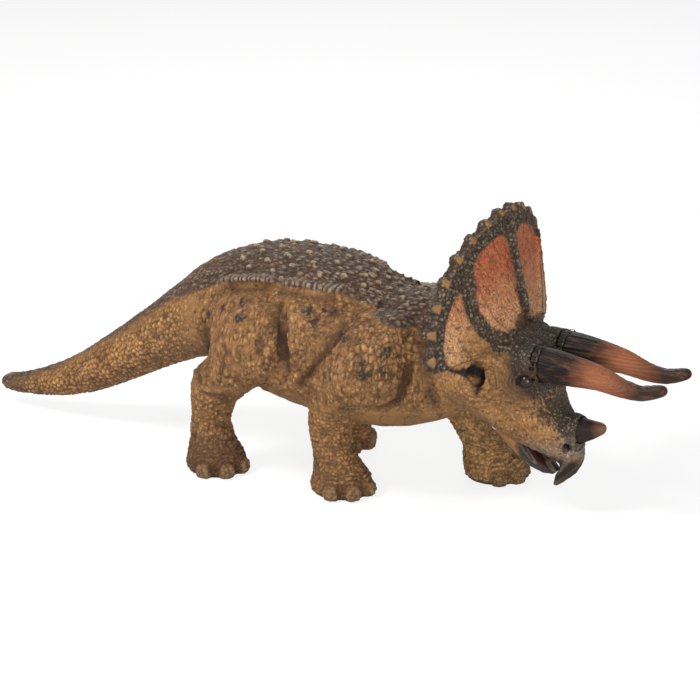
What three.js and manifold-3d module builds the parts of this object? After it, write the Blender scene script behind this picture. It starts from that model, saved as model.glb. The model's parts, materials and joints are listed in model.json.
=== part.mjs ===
// A hand-painted vinyl toy figure of a three-horned dinosaur, in millimetres.
// +X points to the snout, +Y to the figure's left and +Z up. The origin lies on the floor, under the
// middle of the figure. The body is cast in separate pieces that plug together on square pegs: torso,
// tail, four legs, head and three horns. The lower jaw swings on a pin through the cheeks.
import * as THREE from "three";
import { mergeVertices } from "three/addons/utils/BufferGeometryUtils.js";
import Module from "manifold-3d";

const wasm = await Module();
wasm.setup();

// Gaps between pieces
const seam = 0.3; // between two cast pieces where they meet
const pegClearance = 0.3; // all round a peg in its socket
const cutOverrun = 240; // how far a cutting block reaches past what it cuts
const sliver = 0.02; // facets thinner than this, left by cuts, are merged away

// Torso and neck
const torsoLength = 82; // from the tail seam to the neck seam
const torsoDepth = 48.6; // from back to belly
const torsoWidth = 53;
const backRimSize = 2.4;
const rimBeadLength = 2.8;
const rimBeadSize = 3.4;
const rimBeadPitch = 3;
const studLength = 3.4; // raised ovals on the back
const studWidth = 2.3;
const studHeight = 2.4;
const studSink = 0.5; // how far its middle lies under the skin
const thighFoldWidth = 4.4;
const thighFoldLift = 0.8; // how far the middle of the fold's round cut lies over the skin
const backHeight = 66.6; // top of the back above the floor
const tailSeamPlace = -33; // along X

// Tail
const tailLength = 81.8;
const tailRootDepth = 30;
const tailRootWidth = 37;
const tailRootDrop = 23.7; // middle of the tail at its seam, under the top of the back
const tailTipHeight = 7.1;
const tailSeamLean = 24; // degrees from upright

// Hind legs
const hindLegDrop = 6.6; // top of the thigh under the top of the back
const thighLength = 28.6; // fore and aft
const thighWidth = 22;
const hindFootLength = 18.6;
const hindFootWidth = 17.6;
const hindHipReach = 23; // ahead of the tail seam
const hindHipInset = 8.5; // middle of the thigh inside the flank
const hindFootSplay = 0.6; // how far the foot stands outside the hip
const rightHindStride = -13.6; // foot ahead of hip
const leftHindStride = 8.6;

// Forelegs
const foreLegDrop = 10; // top of the upper arm under the top of the back
const upperArmLength = 30.6;
const upperArmWidth = 24;
const foreFootLength = 18.8;
const foreFootWidth = 17.6;
const shoulderSetback = 21; // behind the neck seam
const shoulderInset = 10.1; // middle of the upper arm inside the flank
const rightForeStride = -10.2;
const leftForeStride = 22.9;

// Toes
const nailLength = 5.2;
const nailWidth = 5.6;
const nailHeight = 5.6;
const nailSink = 0.6; // how far a nail's egg dips under the floor before its sole is cut flat
const knuckleSize = 6.4;

// Pegs
const legPegSize = 9; // square
const legPegLength = 8;
const legPegDrop = 20; // from the top of the leg
const tailPegSize = 11;
const tailPegLength = 10;
const neckPegSize = 14;
const neckPegLength = 9;
const neckPegDrop = 2.1; // under the root of the head

// Head
const headPitch = 48; // degrees that the snout points down
const headLength = 51; // from the middle of the neck end to the beak
const headDepth = 35;
const headWidth = 42;
const headRootReach = 1; // ahead of the neck seam
const headRootDrop = 19.5; // under the top of the back
const browLength = 16; // swelling at the root of each brow horn
const browWidth = 11.6;
const browRidgeWidth = 7; // ridge from the foot of the frill to each brow horn
const eyeSize = 4.6;
const eyelidThickness = 2;
const nostrilWidth = 2.4;
const nostrilLength = 3.4;
const earWidth = 5.6;
const earHeight = 7.2;
const cheekRidgeWidth = 7;

// Frill
const frillWidth = 70;
const frillRise = 35.2; // above its hub
const frillHubReach = 16.6; // ahead of the root of the head
const frillHubRise = 4; // above the root of the head
const frillSweep = 9; // how far the sides lie behind the middle
const frillSweepPower = 2.1; // a low power starts the sweep near the middle
const frillLean = 4.4; // how far the crown lies behind the hub
const frillFlare = 5; // how far its face comes forward at the skull
const frillRootThickness = 6;
const frillRimThickness = 4;
const frillRidgeWidth = 2.6;
const frillSpan = 96; // degrees from the crown to each lower corner
const rimKnobsPerSide = 8;
const rimKnobWidth = 4;
const rimKnobHeight = 3.8;
const rimKnobThickness = 4.6;

// Horns
const browHornReach = 37; // from its root to its tip, along X
const browHornRoot = 9.9; // diameter
const browHornSpread = 8.4; // from the middle plane
const browHornRootHeight = 19.8; // above the line from the neck to the beak
const browHornPlace = 19.1; // along the head
const browHornDrop = 3.4; // how far its lowest stretch lies under its root
const noseHornReach = 9.8;
const noseHornRoot = 8.2;
const noseHornPlace = 38.2; // along the head
const noseHornHeight = 10.6; // above the line from the neck to the beak
const noseHornRise = 1.7;
const browCollarThickness = 1.6;
const noseCollarThickness = 1.6;

// Jaw
const jawLength = 25;
const jawDepth = 7;
const jawWidth = 12.4;
const jawRootPlace = 20.6; // along the head
const jawOpenAngle = 14; // degrees from the pose shown
const jawShutAngle = -6;
const jawClearance = 0.4;
const mouthLength = 18; // the hollow over the jaw
const mouthWidth = 10.6;
const mouthDepth = 6.2;
const mouthOverhang = 1; // how far the hollow reaches past the tip of the jaw
const pinDiameter = 2;
const pinLength = 16;
const pinClearance = 0.08;
const pinPlace = 24.5; // along the head
const pinLevel = -5; // across the head

const across = new THREE.Vector3(0, 1, 0);
const radians = THREE.MathUtils.degToRad;
const place = (x, y, z) => new THREE.Vector3(x, y, z);
const RIGHT = -1;
const LEFT = 1;
const bothSides = [RIGHT, LEFT];

// Solids

// A closed geometry as a solid that can be cut and joined.
function solid(geometry) {
  const bare = geometry.clone();
  bare.deleteAttribute("normal");
  bare.deleteAttribute("uv");
  const merged = mergeVertices(bare);
  const mesh = new wasm.Mesh({
    numProp: 3,
    vertProperties: new Float32Array(merged.getAttribute("position").array),
    triVerts: new Uint32Array(merged.index.array),
  });
  return new wasm.Manifold(mesh);
}

function geometryOf(manifold) {
  const mesh = manifold.simplify(sliver).getMesh();
  const geometry = new THREE.BufferGeometry();
  geometry.setAttribute("position", new THREE.BufferAttribute(new Float32Array(mesh.vertProperties), 3));
  geometry.setIndex(new THREE.BufferAttribute(new Uint32Array(mesh.triVerts), 1));
  const flat = geometry.toNonIndexed();
  flat.computeVertexNormals();
  return flat;
}

// Joins rings of points, all with the same count, into one closed skin with a flat cap at each end.
function skinOf(rings) {
  const count = rings[0].length;
  const points = rings.flat();
  const index = [];
  for (let r = 0; r < rings.length - 1; r += 1) {
    for (let i = 0; i < count; i += 1) {
      const a = r * count + i;
      const b = r * count + ((i + 1) % count);
      index.push(a, b, a + count, b, b + count, a + count);
    }
  }
  const middle = (ring) => ring.reduce((sum, p) => sum.add(p), place(0, 0, 0)).divideScalar(count);
  const first = points.push(middle(rings[0])) - 1;
  const last = points.push(middle(rings[rings.length - 1])) - 1;
  const lastRing = (rings.length - 1) * count;
  for (let i = 0; i < count; i += 1) {
    const next = (i + 1) % count;
    index.push(first, next, i, last, lastRing + i, lastRing + next);
  }
  const geometry = new THREE.BufferGeometry().setFromPoints(points);
  geometry.setIndex(index);
  const made = solid(geometry);
  if (made.volume() > 0) return made;
  geometry.setIndex(index.reverse());
  return solid(geometry);
}

// Fills a run of stations in between, and gives the section at any share of the run. Each station has
// its middle, its half width, its rise and drop from the middle, and a power: 2 is an ellipse and more
// is boxier. The sections stand square to the run of the middles, or to the direction in facing.
function sectionsOf(stations, facing = null) {
  const middles = new THREE.CatmullRomCurve3(stations.map((s) => s.middle), false, "catmullrom");
  const spans = new THREE.CatmullRomCurve3(
    stations.map((s) => place(s.halfWidth, s.rise, s.drop)), false, "catmullrom");
  return (share) => {
    const forward = facing ?? middles.getTangent(share);
    const nearest = stations[Math.round(share * (stations.length - 1))];
    return {
      centre: middles.getPoint(share),
      forward,
      up: across.clone().cross(forward).negate().normalize(),
      span: spans.getPoint(share),
      bend: 2 / (nearest.power ?? 2),
    };
  };
}

// The point of a section's skin at an angle from its left end, moved out by grow.
function onSection({ centre, up, span, bend }, angle, grow = 0) {
  const cosine = Math.cos(angle);
  const sine = Math.sin(angle);
  const wide = Math.sign(cosine) * Math.abs(cosine) ** bend * (span.x + grow);
  const high = Math.sign(sine) * Math.abs(sine) ** bend * ((sine > 0 ? span.y : span.z) + grow);
  return centre.clone().addScaledVector(across, wide).addScaledVector(up, high);
}

// A body swept through stations. grow widens the whole body evenly.
function sweep(stations, { sides, steps = 2, facing = null, grow = 0 }) {
  const sectionAt = sectionsOf(stations, facing);
  const count = (stations.length - 1) * steps;
  const rings = [];
  for (let k = 0; k <= count; k += 1) {
    const section = sectionAt(k / count);
    const end = (k === count) - (k === 0);
    section.centre.addScaledVector(section.forward, grow * end);
    rings.push(Array.from({ length: sides }, (_, i) =>
      onSection(section, (i / sides) * Math.PI * 2, grow)));
  }
  return skinOf(rings);
}

const noTurn = new THREE.Euler();

function placed(geometry, centre, turn, scale) {
  const quaternion = new THREE.Quaternion().setFromEuler(turn);
  return solid(geometry.applyMatrix4(new THREE.Matrix4().compose(centre, quaternion, scale)));
}

// An egg with the given sizes, turned and then placed.
function egg(size, centre, turn = noTurn, sides = 10, bands = 6) {
  return placed(new THREE.SphereGeometry(1, sides, bands), centre, turn, size.clone().divideScalar(2));
}

function block(size, centre, turn = noTurn) {
  return placed(new THREE.BoxGeometry(1, 1, 1), centre, turn, size);
}

// A ring of round section about an axis that points along X before it is turned.
function collar(innerDiameter, thickness, centre, turn) {
  const ring = new THREE.TorusGeometry(innerDiameter / 2, thickness / 2, 5, 12);
  return placed(ring.rotateY(Math.PI / 2), centre, turn, place(1, 1, 1));
}

function join(solids) {
  return solids.reduce((sum, next) => sum.add(next));
}

function cut(body, cutters) {
  return cutters.reduce((rest, cutter) => rest.subtract(cutter), body);
}

// Everything behind an upright plane across X, which may lean about Y.
function behind(x, z, lean = 0) {
  const turn = new THREE.Euler(0, radians(lean), 0);
  const middle = place(-cutOverrun / 2, 0, 0).applyEuler(turn).add(place(x, 0, z));
  return block(place(cutOverrun, cutOverrun, cutOverrun), middle, turn);
}

// Spine: tail, torso and neck are one run of sections, cut apart at two seams

// Each row: along from the seam, height, depth and width, all as shares.
const tailShares = [
  [1, 0.01, 0.09, 0.07],
  [0.965, 0.01, 0.19, 0.155],
  [0.87, 0.04, 0.25, 0.215],
  [0.745, 0.11, 0.34, 0.29],
  [0.6, 0.235, 0.44, 0.385],
  [0.45, 0.425, 0.53, 0.48],
  [0.31, 0.62, 0.61, 0.58],
  [0.185, 0.79, 0.71, 0.71],
  [0.07, 0.94, 0.845, 0.86],
];
const tailPower = 2.1;

// Each row: along from the tail seam, top, depth and width, all as shares, and the power.
const torsoShares = [
  [0.055, 0.922, 0.69, 0.72, 2.1],
  [0.18, 0.988, 0.835, 0.85, 2.15],
  [0.315, 1.005, 0.91, 0.95, 2.2],
  [0.46, 0.98, 0.922, 1, 2.25],
  [0.6, 0.924, 0.9, 0.98, 2.1],
  [0.73, 0.888, 0.845, 0.89, 2.1],
  [0.855, 0.892, 0.79, 0.79, 2.15],
  [0.965, 0.898, 0.71, 0.69, 2.1],
  [1.06, 0.89, 0.61, 0.6, 2.1],
  [1.15, 0.86, 0.48, 0.5, 2],
];

const tailRootHeight = backHeight - tailRootDrop;

function spineStations() {
  const tail = tailShares.map(([along, high, deep, wide]) => ({
    middle: place(
      tailSeamPlace - tailLength * along, 0, tailTipHeight + (tailRootHeight - tailTipHeight) * high),
    halfWidth: (tailRootWidth * wide) / 2,
    rise: (tailRootDepth * deep) / 2,
    drop: (tailRootDepth * deep) / 2,
    power: tailPower,
  }));
  const torso = torsoShares.map(([along, top, deep, wide, power]) => ({
    middle: place(tailSeamPlace + torsoLength * along, 0, backHeight * top - (torsoDepth * deep) / 2),
    halfWidth: (torsoWidth * wide) / 2,
    rise: (torsoDepth * deep) / 2,
    drop: (torsoDepth * deep) / 2,
    power,
  }));
  return [...tail, ...torso];
}

const spine = (grow = 0) => sweep(spineStations(), { sides: 26, grow });

// A raised rim runs along each side of the back, over the thigh to the shoulder. It keeps to the skin:
// each share is its height over the middle of one section, of that section's rise, and the section is
// as wide there as its power allows.
const backRimShares = [0.67, 0.73, 0.81, 0.87, 0.89];

function backRim(side, grow = 0) {
  const firstRow = tailShares.length + 1;
  const rows = spineStations().slice(firstRow, firstRow + backRimShares.length);
  const stations = rows.map((row, i) => {
    const riseShare = backRimShares[i];
    const widthShare = (1 - riseShare ** row.power) ** (1 / row.power);
    return {
      middle: place(row.middle.x, side * row.halfWidth * widthShare, row.middle.z + row.rise * riseShare),
      halfWidth: backRimSize / 2,
      rise: backRimSize / 2,
      drop: backRimSize / 2,
    };
  });
  const line = new THREE.CatmullRomCurve3(stations.map((s) => s.middle), false, "catmullrom");
  const size = place(rimBeadLength, rimBeadSize, rimBeadSize).addScalar(grow * 2);
  const beads = line.getSpacedPoints(Math.round(line.getLength() / rimBeadPitch))
    .map((centre) => egg(size, centre, noTurn, 6, 4));
  return join([sweep(stations, { sides: 6, grow }), ...beads]);
}

// Studs stand in rows between the crest of the back and each rim, and every other row is shifted by
// half a step.
const studRowTurns = [6, 16, 26, 36]; // degrees from the crest
const studsPerRow = 9;
const firstStudSection = 1;
const studStepShare = 0.65; // of the distance between two sections

function stud(section, side, turn, grow) {
  const centre = onSection(section, Math.PI / 2 - side * radians(turn), -studSink);
  const outward = centre.clone().sub(section.centre).normalize();
  const aside = outward.clone().cross(section.forward).normalize();
  const flat = new THREE.Matrix4().makeBasis(section.forward, aside, outward);
  const size = place(studLength, studWidth, studHeight).addScalar(grow * 2);
  return egg(size, centre, new THREE.Euler().setFromRotationMatrix(flat), 6, 4);
}

function backStuds(grow = 0) {
  const stations = spineStations();
  const sectionAt = sectionsOf(stations);
  return bothSides.flatMap((side) => studRowTurns.flatMap((turn, row) =>
    Array.from({ length: studsPerRow }, (_, i) => {
      const section = tailShares.length + firstStudSection + (i + (row % 2) / 2) * studStepShare;
      return stud(sectionAt(section / (stations.length - 1)), side, turn, grow);
    })));
}

// A deep fold runs down in front of each thigh. Each row: section of the torso, degrees from the crest,
// and width as a share.
const thighFoldShares = [
  [2.66, 52, 0.3],
  [2.7, 60, 0.75],
  [2.79, 74, 1],
  [2.9, 88, 1],
  [2.94, 98, 0.75],
  [3, 108, 0.3],
];

function thighFold(side) {
  const stations = spineStations();
  const sectionAt = sectionsOf(stations);
  const rows = thighFoldShares.map(([section, turn, wide]) => {
    const there = sectionAt((tailShares.length + section) / (stations.length - 1));
    const size = (thighFoldWidth * wide) / 2;
    const middle = onSection(there, Math.PI / 2 - side * radians(turn), thighFoldLift);
    return { middle, halfWidth: size, rise: size, drop: size };
  });
  return sweep(rows, { sides: 8, steps: 1 });
}

const thighFolds = bothSides.map((side) => thighFold(side));
const spineRoom = join([
  spine(), spine(seam), ...bothSides.map((side) => backRim(side, seam)), ...backStuds(seam)]);
const neckSeamPlace = tailSeamPlace + torsoLength;
const headRoot = place(neckSeamPlace + headRootReach, 0, backHeight - headRootDrop);

function tailPeg(clearance) {
  const side = tailPegSize + clearance * 2;
  const root = place(tailSeamPlace, 0, tailRootHeight);
  const turn = new THREE.Euler(0, radians(tailSeamLean), 0);
  return block(place((tailPegLength + clearance) * 2, side, side), root, turn);
}

// The neck peg stands on the torso and fills a socket in the head.
function neckPeg(clearance) {
  const side = neckPegSize + clearance * 2;
  const root = place(neckSeamPlace, 0, headRoot.z - neckPegDrop);
  return block(place((neckPegLength + clearance) * 2, side, side), root);
}

function torso() {
  const sockets = Object.values(limbs).map((limb) => legPeg(limb, pegClearance));
  const body = join([cut(spine(), thighFolds), ...bothSides.map((side) => backRim(side)), ...backStuds()])
    .subtract(behind(tailSeamPlace + seam / 2, tailRootHeight, tailSeamLean))
    .intersect(behind(neckSeamPlace, backHeight));
  return cut(body, [...sockets, tailPeg(pegClearance)]).add(neckPeg(0));
}

function tail() {
  return spine().intersect(behind(tailSeamPlace - seam / 2, tailRootHeight, tailSeamLean)).add(tailPeg(0));
}

// Legs: sections parallel to the floor

// Each row of a thigh: height, shift along, length, width and spread, all as shares.
const thighShares = [
  [1, 0.05, 0.2, 0.24, 0.8],
  [0.985, 0.045, 0.44, 0.5, 0.84],
  [0.95, 0.03, 0.68, 0.72, 0.9],
  [0.88, 0.015, 0.86, 0.9, 0.96],
  [0.78, 0.01, 0.95, 1, 1],
  [0.68, 0.02, 1, 1, 1],
];
const upperArmShares = [
  [1, 0.09, 0.22, 0.26, 0.8],
  [0.985, 0.085, 0.44, 0.5, 0.84],
  [0.945, 0.07, 0.64, 0.72, 0.9],
  [0.87, 0.04, 0.8, 0.9, 0.96],
  [0.77, -0.03, 0.95, 1, 1],
  [0.67, -0.09, 1, 1, 1],
];

// Each row of a shin: height, length and width of the thigh, and how far out to the foot.
const hindShinShares = [
  [0.6, 0.98, 0.96, 0.15],
  [0.52, 0.9, 0.88, 0.4],
  [0.44, 0.68, 0.73, 0.8],
  [0.36, 0.48, 0.59, 1],
  [0.26, 0.42, 0.52, 1],
];
const foreShinShares = [
  [0.57, 0.86, 0.9, 0.2],
  [0.5, 0.7, 0.79, 0.5],
  [0.43, 0.52, 0.63, 0.8],
  [0.34, 0.42, 0.51, 1],
  [0.235, 0.4, 0.48, 1],
];

// Each row of a foot: height of the leg, length and width.
const footShares = [
  [0.165, 0.76, 0.76],
  [0.1, 0.93, 0.92],
  [0.05, 1, 1],
  [0.018, 0.95, 0.95],
  [0, 0.8, 0.8],
];

// How far each row from the top of the shin to the sole has gone from the hip to the foot.
const rightHindLeanShares = [0.06, 0.52, 0.84, 1.05, 1.13, 1.08, 1, 1, 1, 1];
const leftHindLeanShares = [0.3, 0.3, 0.3, 0.45, 0.7, 0.88, 0.95, 1, 1, 1];
const rightForeLeanShares = [0.46, 0.77, 1.22, 1.38, 1.3, 1.14, 1, 1, 1, 1];
const leftForeLeanShares = [0.1, 0.2, 0.36, 0.52, 0.72, 0.87, 0.95, 1, 1, 1];

const legPower = 2.1;

function limbStations(limb) {
  const { side, height, hip, hipSpread, footSpread, stride, length, width, leanShares } = limb;
  const station = (high, along, long, wide, spread) => ({
    middle: place(hip + along, side * spread, height * high),
    halfWidth: wide / 2,
    rise: long / 2,
    drop: long / 2,
    power: legPower,
  });
  const outward = (share) => hipSpread + (footSpread - hipSpread) * share;
  const upper = limb.upperShares.map(([high, shift, long, wide, spread]) =>
    station(high, length * shift, length * long, width * wide, hipSpread * spread));
  const shin = limb.shinShares.map(([high, long, wide, out], i) =>
    station(high, stride * leanShares[i], length * long, width * wide, outward(out)));
  const foot = footShares.map(([high, long, wide], i) => {
    const along = stride * leanShares[shin.length + i];
    return station(high, along, limb.footLength * long, limb.footWidth * wide, footSpread);
  });
  return [...upper, ...shin, ...foot];
}

// Toe places: degrees round the foot from straight ahead, outwards. The right feet turn out.
const rightHindToeAngles = [-12, 38, 86];
const rightForeToeAngles = [-10, 40, 84];
const leftHindToeAngles = [-40, 4, 48];
const leftForeToeAngles = [-56, -12, 30];
const toeReachShare = 0.84;
const knuckleReachShare = 0.66;
const knuckleHeightShare = 0.8;

function toe({ side, hip, footSpread, stride, footLength, footWidth }, angle) {
  const turn = radians(angle);
  const heading = new THREE.Euler(0, 0, side * turn);
  const root = place(hip + stride, side * footSpread, 0);
  const rim = place((Math.cos(turn) * footLength) / 2, (side * Math.sin(turn) * footWidth) / 2, 0);
  const nailCentre = root.clone().addScaledVector(rim, toeReachShare).setZ(nailHeight / 2 - nailSink);
  const knuckleCentre = root.clone().addScaledVector(rim, knuckleReachShare);
  knuckleCentre.setZ(nailHeight * knuckleHeightShare);
  const nail = egg(place(nailLength, nailWidth, nailHeight), nailCentre, heading, 8);
  return nail.add(egg(place(knuckleSize, knuckleSize, knuckleSize), knuckleCentre, heading, 8, 4));
}

function leg(limb) {
  const flesh = sweep(limbStations(limb), { sides: 20, steps: 1, facing: place(0, 0, -1) });
  const toes = limb.toeAngles.map((angle) => toe(limb, angle));
  const underFloor = block(place(cutOverrun, cutOverrun, cutOverrun), place(0, 0, -cutOverrun / 2));
  return cut(join([flesh, ...toes]), [underFloor, spineRoom, ...thighFolds]).add(legPeg(limb, 0));
}

// A peg across the joint between a leg and the torso.
function legPeg({ side, height, hip, hipSpread }, clearance) {
  const thick = legPegSize + clearance * 2;
  const root = place(hip, side * hipSpread, height - legPegDrop);
  return block(place(thick, (legPegLength + clearance) * 2, thick), root);
}

const hindHipSpread = torsoWidth / 2 - hindHipInset;
const shoulderSpread = torsoWidth / 2 - shoulderInset;

const hindLeg = {
  height: backHeight - hindLegDrop,
  hip: tailSeamPlace + hindHipReach,
  hipSpread: hindHipSpread,
  footSpread: hindHipSpread + hindFootSplay,
  length: thighLength,
  width: thighWidth,
  footLength: hindFootLength,
  footWidth: hindFootWidth,
  upperShares: thighShares,
  shinShares: hindShinShares,
};
const foreleg = {
  height: backHeight - foreLegDrop,
  hip: neckSeamPlace - shoulderSetback,
  hipSpread: shoulderSpread,
  footSpread: shoulderSpread,
  length: upperArmLength,
  width: upperArmWidth,
  footLength: foreFootLength,
  footWidth: foreFootWidth,
  upperShares: upperArmShares,
  shinShares: foreShinShares,
};
const limbs = {
  right_hind_leg: {
    ...hindLeg,
    side: RIGHT,
    stride: rightHindStride,
    leanShares: rightHindLeanShares,
    toeAngles: rightHindToeAngles,
  },
  left_hind_leg: {
    ...hindLeg,
    side: LEFT,
    stride: leftHindStride,
    leanShares: leftHindLeanShares,
    toeAngles: leftHindToeAngles,
  },
  right_foreleg: {
    ...foreleg,
    side: RIGHT,
    stride: rightForeStride,
    leanShares: rightForeLeanShares,
    toeAngles: rightForeToeAngles,
  },
  left_foreleg: {
    ...foreleg,
    side: LEFT,
    stride: leftForeStride,
    leanShares: leftForeLeanShares,
    toeAngles: leftForeToeAngles,
  },
};

// Head: places run along the snout from the neck, across to the left, and up square to the snout

const headAlong = place(Math.cos(radians(headPitch)), 0, -Math.sin(radians(headPitch)));
const headUp = place(Math.sin(radians(headPitch)), 0, Math.cos(radians(headPitch)));

function onHead(along, y, up) {
  return headRoot.clone().addScaledVector(headAlong, along).addScaledVector(headUp, up).setY(y);
}

function byHeadShares([along, wide, up]) {
  return onHead(headLength * along, headWidth * wide, headDepth * up);
}

const onSide = (side, [along, wide, up]) => byHeadShares([along, wide * side, up]);

// Each row: along, top and bottom across the head, and width, all as shares.
const skullShares = [
  [-0.05, 0.3, -0.34, 0.72],
  [0.07, 0.46, -0.37, 0.92],
  [0.19, 0.55, -0.36, 1],
  [0.31, 0.59, -0.31, 0.88],
  [0.43, 0.525, -0.25, 0.71],
  [0.55, 0.39, -0.19, 0.56],
  [0.66, 0.35, -0.12, 0.45],
  [0.77, 0.34, -0.03, 0.34],
  [0.86, 0.27, 0.03, 0.24],
  [0.91, 0.18, 0.03, 0.14],
];
const skullPower = 2.15;

function skull() {
  const stations = skullShares.map(([along, top, bottom, wide]) => ({
    middle: byHeadShares([along, 0, (top + bottom) / 2]),
    halfWidth: (headWidth * wide) / 2,
    rise: (headDepth * (top - bottom)) / 2,
    drop: (headDepth * (top - bottom)) / 2,
    power: skullPower,
  }));
  return sweep(stations, { sides: 20, facing: headAlong });
}

// The hooked upper beak. Each row: along, up, half depth and half width, all as shares.
const beakShares = [
  [0.77, 0.215, 0.125, 0.11],
  [0.855, 0.15, 0.11, 0.095],
  [0.9, 0.046, 0.085, 0.084],
  [0.918, -0.046, 0.055, 0.068],
  [0.934, -0.14, 0.02, 0.03],
];

function beak() {
  const stations = beakShares.map(([along, up, half, wide]) => ({
    middle: byHeadShares([along, 0, up]),
    halfWidth: headWidth * wide,
    rise: headDepth * half,
    drop: headDepth * half,
  }));
  return sweep(stations, { sides: 14 });
}

// Frill: a shield swept round its hub

// A point on the face, given degrees from the crown and how far out as a share; lift is along X.
function onFrill(degrees, out, lift = 0) {
  const angle = radians(degrees);
  const sideways = out * Math.sin(angle);
  const upward = out * Math.cos(angle);
  const sweepBack = frillSweep * Math.abs(sideways) ** frillSweepPower;
  const leanBack = frillLean * Math.max(upward, 0);
  const flare = frillFlare * (1 - out) ** 3;
  const forward = frillHubReach - sweepBack - leanBack + flare + lift;
  return headRoot.clone().add(
    place(forward, (frillWidth / 2) * sideways, frillHubRise + frillRise * upward));
}

const frillFaceShares = [0.2, 0.4, 0.6, 0.8, 0.95, 1];
const frillBackShares = [0.98, 0.6, 0.2];
const frillFans = 24;

function shield() {
  const rings = [];
  for (let k = 0; k <= frillFans; k += 1) {
    const degrees = frillSpan * ((k / frillFans) * 2 - 1);
    const face = frillFaceShares.map((out) => onFrill(degrees, out));
    const back = frillBackShares.map((out) =>
      onFrill(degrees, out, -frillRootThickness - (frillRimThickness - frillRootThickness) * out));
    rings.push([...face, ...back]);
  }
  return skinOf(rings);
}

// Raised bands on the face. Each row: degrees from the crown and how far out.
const middleBandShares = [[0, 0.22], [0, 0.5], [0, 0.8], [0, 0.97]];
const sideBandShares = [[74, 0.3], [62, 0.5], [50, 0.7], [42, 0.93]];

function frillBand(rows, side) {
  const stations = rows.map(([degrees, out]) => ({
    middle: onFrill(degrees * side, out),
    halfWidth: frillRidgeWidth / 2,
    rise: frillRidgeWidth / 2,
    drop: frillRidgeWidth / 2,
  }));
  return sweep(stations, { sides: 8, steps: 1 });
}

function rimKnobs() {
  return bothSides.flatMap((side) => Array.from({ length: rimKnobsPerSide }, (_, i) => {
    const degrees = (side * frillSpan * (i + 0.5)) / rimKnobsPerSide;
    const centre = onFrill(degrees, 1, -frillRimThickness / 2);
    const turn = new THREE.Euler(-radians(degrees), 0, 0);
    return egg(place(rimKnobThickness, rimKnobWidth, rimKnobHeight), centre, turn, 6, 4);
  }));
}

// Horns

// Each row: along, height as a share of the drop, and diameter.
const browHornShares = [
  [-0.06, 0.05, 1.02],
  [0.08, 0, 0.98],
  [0.25, -0.12, 0.88],
  [0.46, -0.34, 0.7],
  [0.64, -0.85, 0.54],
  [0.8, -1, 0.44],
  [0.93, -0.62, 0.38],
  [0.985, -0.42, 0.27],
  [1, -0.36, 0.1],
];

const browHornFoot = (side) => onHead(browHornPlace, side * browHornSpread, browHornRootHeight);

function browHorn(side, grow = 0) {
  const stations = browHornShares.map(([along, high, thick]) => ({
    middle: browHornFoot(side).add(place(browHornReach * along, 0, browHornDrop * high)),
    halfWidth: (browHornRoot * thick) / 2,
    rise: (browHornRoot * thick) / 2,
    drop: (browHornRoot * thick) / 2,
  }));
  return sweep(stations, { sides: 14, grow });
}

// Each row: along, height as a share of the rise, and diameter.
const noseHornShares = [
  [-0.25, 0, 1],
  [0.1, 0, 0.98],
  [0.4, 0.2, 0.8],
  [0.7, 0.6, 0.56],
  [0.93, 0.95, 0.36],
  [1, 1, 0.12],
];

const noseHornFoot = onHead(noseHornPlace, 0, noseHornHeight);

function noseHorn(grow = 0) {
  const stations = noseHornShares.map(([along, high, thick]) => ({
    middle: noseHornFoot.clone().add(place(noseHornReach * along, 0, noseHornRise * high)),
    halfWidth: (noseHornRoot * thick) / 2,
    rise: (noseHornRoot * thick) / 2,
    drop: (noseHornRoot * thick) / 2,
  }));
  return sweep(stations, { sides: 14, grow });
}

// A rounded ridge of skin from one point to another
function ridge(start, end, width) {
  const heading = end.clone().sub(start).normalize();
  const quaternion = new THREE.Quaternion().setFromUnitVectors(place(1, 0, 0), heading);
  const turn = new THREE.Euler().setFromQuaternion(quaternion);
  return egg(place(start.distanceTo(end), width, width), start.clone().lerp(end, 0.5), turn, 10, 6);
}

// Where the ridges under the horns leave the skull: along, across and up, as shares of the head.
const browRidgeShares = [0.2, 0.14, 0.5];
const noseRidgeShares = [0.6, 0, 0.2];

// Ridge, swelling and collar of skin at the root of a brow horn
function brow(side) {
  const root = browHornFoot(side);
  const swelling = egg(
    place(browLength, browWidth, browWidth), root.clone().sub(place(browLength / 4, 0, 0)), noTurn, 10, 6);
  const rising = ridge(onSide(side, browRidgeShares), root, browRidgeWidth);
  return join([swelling, rising, collar(browHornRoot, browCollarThickness, root, noTurn)]);
}

// Ridge, cuff and collar of skin at the root of the nose horn
function noseRoot() {
  const rising = ridge(byHeadShares(noseRidgeShares), noseHornFoot, noseHornRoot);
  const cuffWidth = noseHornRoot + noseCollarThickness;
  const cuff = egg(place(cuffWidth, cuffWidth, cuffWidth), noseHornFoot, noTurn, 12, 6);
  return join([rising, cuff, collar(noseHornRoot, noseCollarThickness, noseHornFoot, noTurn)]);
}

// Jaw

// Each row: along, top and bottom as shares of the jaw depth, and width.
const jawShares = [
  [0, -0.4, -1.3, 0.8],
  [0.14, -0.12, -1.32, 0.96],
  [0.36, -0.14, -1.22, 1],
  [0.58, -0.2, -1.12, 0.94],
  [0.76, -0.26, -0.98, 0.78],
  [0.9, -0.2, -0.76, 0.52],
  [0.98, -0.16, -0.46, 0.26],
];

function jaw(grow = 0) {
  const stations = jawShares.map(([along, top, bottom, wide]) => ({
    middle: onHead(jawRootPlace + jawLength * along, 0, (jawDepth * (top + bottom)) / 2),
    halfWidth: (jawWidth * wide) / 2,
    rise: (jawDepth * (top - bottom)) / 2,
    drop: (jawDepth * (top - bottom)) / 2,
    power: 2.3,
  }));
  return sweep(stations, { sides: 14, steps: 1, facing: headAlong, grow });
}

const hinge = onHead(pinPlace, 0, pinLevel);

// Turns a solid about the hinge by an angle in degrees; positive opens the mouth.
function swing(body, angle) {
  return body
    .translate([-hinge.x, 0, -hinge.z])
    .rotate([0, angle, 0])
    .translate([hinge.x, 0, hinge.z]);
}

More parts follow.
